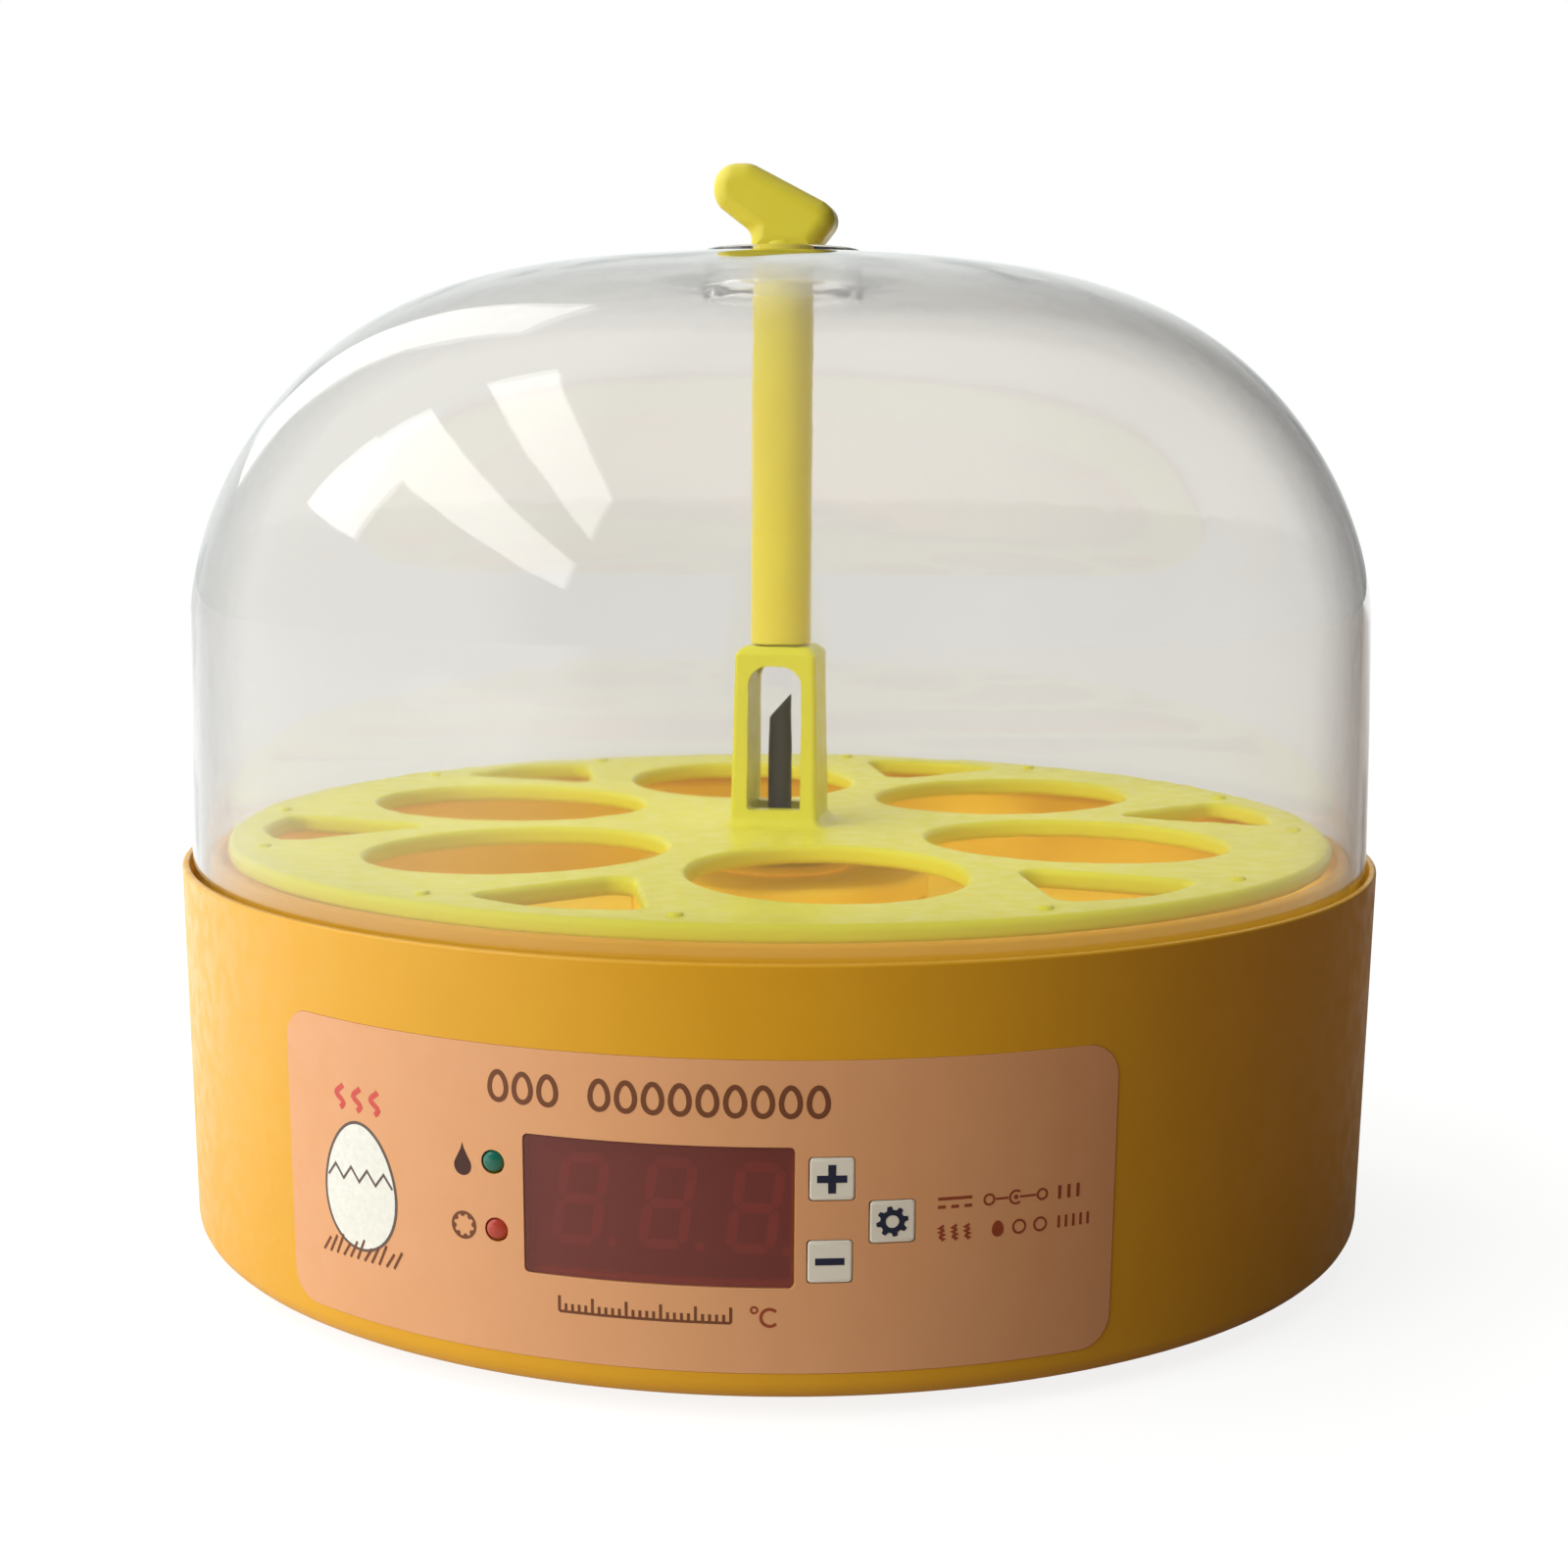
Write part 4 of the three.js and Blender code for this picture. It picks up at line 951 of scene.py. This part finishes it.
def printed(name, shapes, ink, place, body="base", slot="panel_film", rise=0.03):
    """Ink in the shape of filled outlines and of bands between two lines, laid on a surface."""
    points = []
    faces = []
    for shape in shapes:
        first = len(points)
        if isinstance(shape, tuple):
            left, right, closed = shape
            n = len(left)
            points += left + right
            for i in range(n if closed else n - 1):
                j = (i + 1) % n
                faces.append((first + i, first + j, first + n + j, first + n + i))
        else:
            points += shape
            for triangle in tessellate_polygon([[Vector((x, y, 0)) for x, y in shape]]):
                faces.append(tuple(first + i for i in triangle))
    mesh_points = [place(x, y, height) for height in (-0.02, rise) for x, y in points]
    n = len(points)
    edges = {}
    for face in faces:
        for a, b in zip(face, face[1:] + face[:1]):
            edges.setdefault(frozenset((a, b)), []).append((a, b))
    solid = [tuple(reversed(face)) for face in faces] + [tuple(i + n for i in face) for face in faces]
    solid += [(a, b, b + n, a + n) for (a, b), *others in edges.values() if not others]
    piece = raw(name, mesh_points, solid)
    return settle(piece, slot, body, sharp=30, material=ink, weighted=False)


def egg_outline(x, z, width, height, steps=40):
    """An egg standing on its blunt end."""
    unit = ellipse(2, 2, steps)
    return [(x + width / 2 * c * (1 - 0.13 * s), z + height / 2 * s) for c, s in unit]


def on_film(s, z, rise):
    return on_wall(s, z, -FILM_PROUD - rise)


def short_steps(start, end, step=2.0):
    """Points along a straight line, close enough together to follow the curved wall."""
    count = max(1, round((Vector(end) - Vector(start)).length / step))
    return [tuple(Vector(start).lerp(Vector(end), i / count)) for i in range(count + 1)]


def ring(diameter, x, z, width, steps=18):
    return ribbon(ellipse(diameter, diameter, steps, (x, z)), width, True)


def tick(x, z, reach, width):
    return ribbon([(x, z - reach), (x, z + reach)], width)


def title_row(z=46.6):
    """A row of small eggs over the display, in two groups."""
    pitch, first = 3.85, -24.7
    places = [i for i in range(13) if i != 3]
    return [ribbon(egg_outline(first + pitch * i, z, 2.6, 4.1, 24), 0.75, True) for i in places]


def temperature_scale(z=15.3):
    """A scale of short and long ticks on a line under the display, beside the degree sign."""
    left, right = -15.6, 9.4
    shapes = [ribbon(short_steps((left, z - 0.9), (right, z - 0.9)), 0.4)]
    for i in range(26):
        height = 2.3 if i % 5 == 0 else 1.2
        s = left + (right - left) * i / 25
        shapes.append(ribbon([(s, z - 0.9), (s, z - 0.9 + height)], 0.42))
    return shapes


def degree_sign(z=15.3):
    return [ring(0.9, 12.7, z + 1.1, 0.3, 16), ribbon(arc((14.9, z), 1.25, 45, 315, 18), 0.45)]


def supply_signs():
    """Direct current, the plug's polarity, and the fan and heater signs, beside the keys."""
    top, low = 31.4, 27.0
    shapes = [ribbon(short_steps((38.6, top + 0.6), (43.6, top + 0.6)), 0.45)]
    shapes += [ribbon([(s, top - 0.6), (s + 1.1, top - 0.6)], 0.45) for s in (38.6, 40.55, 42.5)]
    shapes += [ring(1.5, s, top, 0.32) for s in (46.2, 54.4)]
    shapes += [ribbon(arc((50.3, top), 0.95, 50, 310, 16), 0.32), ellipse(0.7, 0.7, 12, (50.3, top))]
    shapes += [ribbon([(47.2, top), (49.1, top)], 0.32), ribbon([(50.9, top), (53.4, top)], 0.32)]
    shapes += [tick(57.2 + 1.5 * i, top, 1.0, 0.5) for i in range(3)]
    for i in range(3):
        wave = [(39.2 + 1.9 * i + 0.35 * math.sin(1.9 * k), low - 1.1 + 0.2 * k) for k in range(12)]
        shapes.append(ribbon(wave, 0.35))
    shapes.append(egg_outline(47.6, low, 1.8, 2.4, 20))
    shapes += [ring(1.9, 47.6 + 3.3 * i, low, 0.32) for i in (1, 2)]
    shapes += [tick(57.2 + 1.2 * i, low, 0.9, 0.4) for i in range(5)]
    return shapes


def drop(s, z, width, height):
    """A drop with a pointed top."""
    radius = width / 2
    round_part = arc((s, z - height / 2 + radius), radius, -205, 25, 20)
    return round_part + [(s + 0.25, z + height * 0.32), (s, z + height / 2), (s - 0.25, z + height * 0.32)]


def toothed_ring(x, z, radius, outer, inner, shift=0.0):
    """A ring of eight teeth. Outer and inner give the share of the radius at a tooth and between."""
    steps = 48

    def line(shares):
        points = []
        for i in range(steps):
            a = TURN * (i + shift) / steps
            r = radius * shares[0 if i % 6 < 3 else 1]
            points.append((x + r * math.cos(a), z + r * math.sin(a)))
        return points

    return [(line(outer), line(inner), True)]


def warm_egg(s=-50.4, z=27.6):
    """The picture at the left end: an egg in straw, with warmth rising from it."""
    width, height = 14.6, 19.5
    egg = egg_outline(s, z, width, height, 64)
    halves = (egg[:33], [egg[0], *egg[:31:-1]], False)
    crack = []
    for i in range(9):
        share = i / 8
        crack.append((s - width * 0.46 + width * 0.92 * share, z + 1.6 + (1.1 if i % 2 else -0.9)))
    foot, top = z - height / 2, z + height / 2
    straw = []
    for i in range(11):
        x = s - 7.5 + 1.5 * i
        straw.append(ribbon([(x - 0.9, foot - 1.6), (x + 0.7, foot + 0.6 + 0.5 * (i % 3))], 0.4))
    warmth = []
    for i in (-1, 0, 1):
        wave = [(s + 3.6 * i + 0.75 * math.sin(0.75 * k), top + 1.8 + 0.35 * k) for k in range(11)]
        warmth.append(ribbon(wave, 0.85))
    return egg, halves, crack, straw, warmth


def cross(reach, width):
    """A plus sign: the end of an arm and one inner corner, turned four times."""
    half = width / 2
    arm = [(-half, -reach), (half, -reach), (half, -half)]
    outline = []
    for _ in range(4):
        outline += arm
        arm = [(-z, x) for x, z in arm]
    return outline


def key_signs():
    """Signs on the key caps, which move with them."""
    ink = printed_ink("key_ink", (0.012, 0.018, 0.05))
    signs = {
        "plus": [cross(2.05, 1.05)],
        "minus": [[(-2.0, -0.5), (2.0, -0.5), (2.0, 0.5), (-2.0, 0.5)]],
        "settings": toothed_ring(0, 0, 2.2, (1, 0.76), (0.42, 0.42), 0.5),
    }
    for name, shapes in signs.items():
        printed(f"{name}_key_sign", shapes, ink, key_place(*KEYS[name], 1), f"{name}_key", "grey_key")


def panel_print():
    brown = printed_ink("brown_ink", (0.17, 0.055, 0.022))
    rust = printed_ink("rust_ink", (0.30, 0.055, 0.02))
    red = printed_ink("red_ink", (0.62, 0.08, 0.07))
    white = printed_ink("white_ink", (0.80, 0.78, 0.74))
    grey = printed_ink("grey_ink", (0.13, 0.09, 0.08))
    dark = printed_ink("dark_ink", (0.06, 0.02, 0.015))
    egg, halves, crack, straw, warmth = warm_egg()
    printed("title_print", title_row(), brown, on_film)
    printed("scale_print", temperature_scale(), brown, on_film)
    printed("degree_print", degree_sign(), rust, on_film)
    printed("supply_print", supply_signs(), rust, on_film)
    printed("drop_print", [drop(-30.8, 35.1, 2.9, 4.9)], dark, on_film)
    printed("heat_print", toothed_ring(-30.8, 25.2, 2.1, (1, 1), (0.62, 0.8)), brown, on_film)
    printed("egg_print", [halves], white, on_film)
    printed("egg_line_print", [ribbon(egg, 0.45, True), ribbon(crack, 0.4)], grey, on_film, rise=0.05)
    printed("straw_print", straw, brown, on_film, rise=0.07)
    printed("warmth_print", warmth, red, on_film)


def display_digits():
    """Three unlit seven-segment digits with their points, faintly seen behind the window."""
    ink = printed_ink("segment_ink", (0.75, 0.25, 0.24))
    face = module_low.y
    wide, tall, thick, gap, slant = 7.2, 13.6, 1.5, 0.16, 0.14
    shapes = []

    def segment(centre, length, upright):
        half, bar = length / 2 - gap, thick / 2
        flat = half - bar
        six = [(-half, 0), (-flat, bar), (flat, bar), (half, 0), (flat, -bar), (-flat, -bar)]
        turned = [(y, x) for x, y in six] if upright else six
        return [(centre[0] + x + slant * (centre[1] + y), centre[1] + y) for x, y in turned]

    for offset in (-11.9, 0.7, 13.3):
        bars = [((0, h * (tall - thick) / 2), wide - thick, False) for h in (-1, 0, 1)]
        bars += [((s * (wide - thick) / 2, h * (tall - thick) / 4), (tall - thick) / 2, True)
                 for s in (-1, 1) for h in (-1, 1)]
        for centre, length, upright in bars:
            shapes.append([(x + offset, z) for x, z in segment(centre, length, upright)])
        shapes.append(ellipse(1.5, 1.5, 16, (offset + 4.6, -tall / 2 + 0.7)))

    def place(x, z, rise):
        return (DISPLAY_ARC + x, face - rise, DISPLAY_HEIGHT + z)

    printed("display_digits", shapes, ink, place, "base", "smoked_window")


def control_panel():
    control_film()
    display_window()
    for name, (s, z) in KEYS.items():
        key_cap(name, s, z)
    for name, (s, z) in LAMPS.items():
        lamp(name, s, z)
    key_signs()
    panel_print()
    display_digits()


# -------- the CAD pieces that stay


def dress_cad_nodes():
    """Gives each CAD node that still shows its material, softened edges and smooth rounds."""
    fine = {"power_lead", "fan_lead", "heater_lead", "probe_lead", "heating_ring"}
    for name, node in frame["nodes"].items():
        if node.hide_render:
            continue
        node.data.materials.clear()
        node.data.materials.append(FINISHES[NODE_SLOT[name]])
        node.data.shade_smooth()
        node.data.set_sharp_from_angle(angle=math.radians(65 if name in fine else 33))
        if name not in fine:
            bevelled(node, 0.25, 2, 50)
            node.modifiers.new("normals", "WEIGHTED_NORMAL").keep_sharp = True


# -------- stage

BRIGHT_SIDE = (-0.9, 0.43, 0.0)  # where most of the room's light comes from
ROOM_BRIGHT = 1.12
ROOM_DARK = 0.06
CEILING = 0.5
SEEN_THROUGH = 0.9  # the room's strength seen through the dome
FLOOR_LIFT = 0.84  # the floor's own glow, seen directly
FLOOR_THROUGH = 0.72  # and through the dome
FLOOR_BRIGHT = 0.95  # and as light on the pieces
KEY = 4.1  # from here on, the lamps' brightness
OVERHEAD = 0.2
PANE = 2.2
FAR_WINDOW = 1.1


def add_floor():
    """A white sheet, dimmer through the dome. Surfaces receive light from it as from a table that is
    dark and warm in front, and bright behind on the left."""
    s = Surface("floor_paper")
    path = s.tree.nodes.new("ShaderNodeLightPath").outputs
    lit = s.ramp(along(s.tree, s.place, BRIGHT_SIDE), -0.12, 0.25, 0, 1)
    bounced = largest(s.tree, path["Is Diffuse Ray"], path["Is Reflection Ray"])
    paper = s.blend(s.spread(s.noise(400, 2), 0, 1), (0.26, 0.26, 0.26), (0.255, 0.255, 0.255))
    seen = s.blend(path["Is Transmission Ray"], paper, (0.1, 0.1, 0.1))
    table = s.blend(lit, (0.34, 0.20, 0.11), (0.5, 0.5, 0.5))
    s.link(s.blend(bounced, seen, table), s.shader.inputs["Base Color"])
    seen = s.blend(path["Is Transmission Ray"], (FLOOR_LIFT,) * 3, shade((1.0, 0.98, 0.955), FLOOR_THROUGH))
    table = s.blend(lit, (0.0, 0.0, 0.0), (FLOOR_BRIGHT,) * 3)
    s.link(s.blend(bounced, seen, table), s.shader.inputs["Emission Color"])
    s.set(Roughness=0.9, Emission_Strength=1.0)
    floor = loft("floor", [[(x, y, z) for x, y in ellipse(30000, 30000, 96)] for z in (-20, -0.05)])
    floor.data.materials.append(s.material)


def add_light(name, place, towards, width, height, radiance, reflected=True, colour=(1.0, 0.985, 0.96)):
    """A rectangular soft light of a given brightness that shines along a direction. Lengths in metres."""
    data = bpy.data.lights.new(name, "AREA")
    data.shape = "RECTANGLE"
    data.size = width
    data.size_y = height
    data.energy = radiance * math.pi * width * height
    data.color = colour
    light = add_object(name, data)
    light.location = place
    light.rotation_euler = Vector(towards).to_track_quat("-Z", "Y").to_euler()
    light.visible_glossy = reflected
    light.visible_transmission = reflected
    light.visible_camera = False


def around(azimuth, reach, height):
    """A place at an azimuth from -Y towards +X, in metres."""
    a = math.radians(azimuth)
    return (reach * math.sin(a), -reach * math.cos(a), height)


def add_world():
    """A room lit from behind on the left, dark in front and on the right. Seen directly it is plain
    white, and through the dome an even pale grey."""
    world = bpy.data.worlds.new("room")
    bpy.context.scene.world = world
    world.use_nodes = True
    tree = world.node_tree
    nodes, links = tree.nodes, tree.links
    nodes.clear()
    direction = nodes.new("ShaderNodeTexCoord").outputs["Generated"]

    def ramp(value, start, end, low, high):
        node = map_range(tree, value, start, end, low, high)
        node.interpolation_type = "SMOOTHSTEP"
        return node.outputs["Result"]

    side = ramp(along(tree, direction, BRIGHT_SIDE), 0.05, 0.45, ROOM_DARK, ROOM_BRIGHT)
    above = ramp(height_in(tree, direction), 0.6, 1.0, 0.0, CEILING)

    def glow(colour, strength):
        node = nodes.new("ShaderNodeBackground")
        node.inputs["Color"].default_value = (*colour, 1)
        if isinstance(strength, float):
            node.inputs["Strength"].default_value = strength
        else:
            links.new(strength, node.inputs["Strength"])
        return node.outputs["Background"]

    def choose(factor, usual, other):
        node = nodes.new("ShaderNodeMixShader")
        for socket, value in zip(node.inputs, (factor, usual, other)):
            links.new(value, socket)
        return node.outputs["Shader"]

    path = nodes.new("ShaderNodeLightPath").outputs
    room = glow((0.95, 0.99, 0.97), largest(tree, side, above))
    room = choose(path["Is Transmission Ray"], room, glow((1.0, 0.985, 0.965), SEEN_THROUGH))
    room = choose(path["Is Camera Ray"], room, glow((1.0, 1.0, 1.0), 1.0))
    links.new(room, nodes.new("ShaderNodeOutputWorld").inputs["Surface"])


def add_stage():
    add_floor()
    add_world()
    add_light("pane_upper", (-1.0, -0.75, 1.77), (1, 0, 0), 1.88, 0.6, PANE)
    add_light("pane_lower", (-1.0, -0.73, 0.98), (1, 0, 0), 1.76, 0.3, PANE)
    add_light("pane_foot", (-1.0, 0.0, 0.7), (1, 0, 0), 0.34, 0.34, 2.4)
    place = around(-139.0, 1.6, 1.13)
    for width, height in ((0.38, 1.45), (0.27, 1.3), (0.16, 1.1)):
        add_light(f"far_window_{height}", place, (0.65, -0.76, -0.4), width, height, FAR_WINDOW)
    add_light("key", around(-38, 1.4, 0.6), (0.57, 0.72, -0.36), 1.0, 1.0, KEY, False, (0.95, 1.04, 0.94))
    add_light("overhead", (-0.5, 0.3, 1.6), (0.3, -0.18, -1), 2.0, 2.0, OVERHEAD, False)


# -------- build

add_camera()
base_shell()
water_pan()
fan_housing()
egg_tray()
tray_post()
turning_handle()
temperature_probe()
dome()
control_panel()
dress_cad_nodes()
add_stage()
bpy.context.scene.view_settings.view_transform = "Standard"
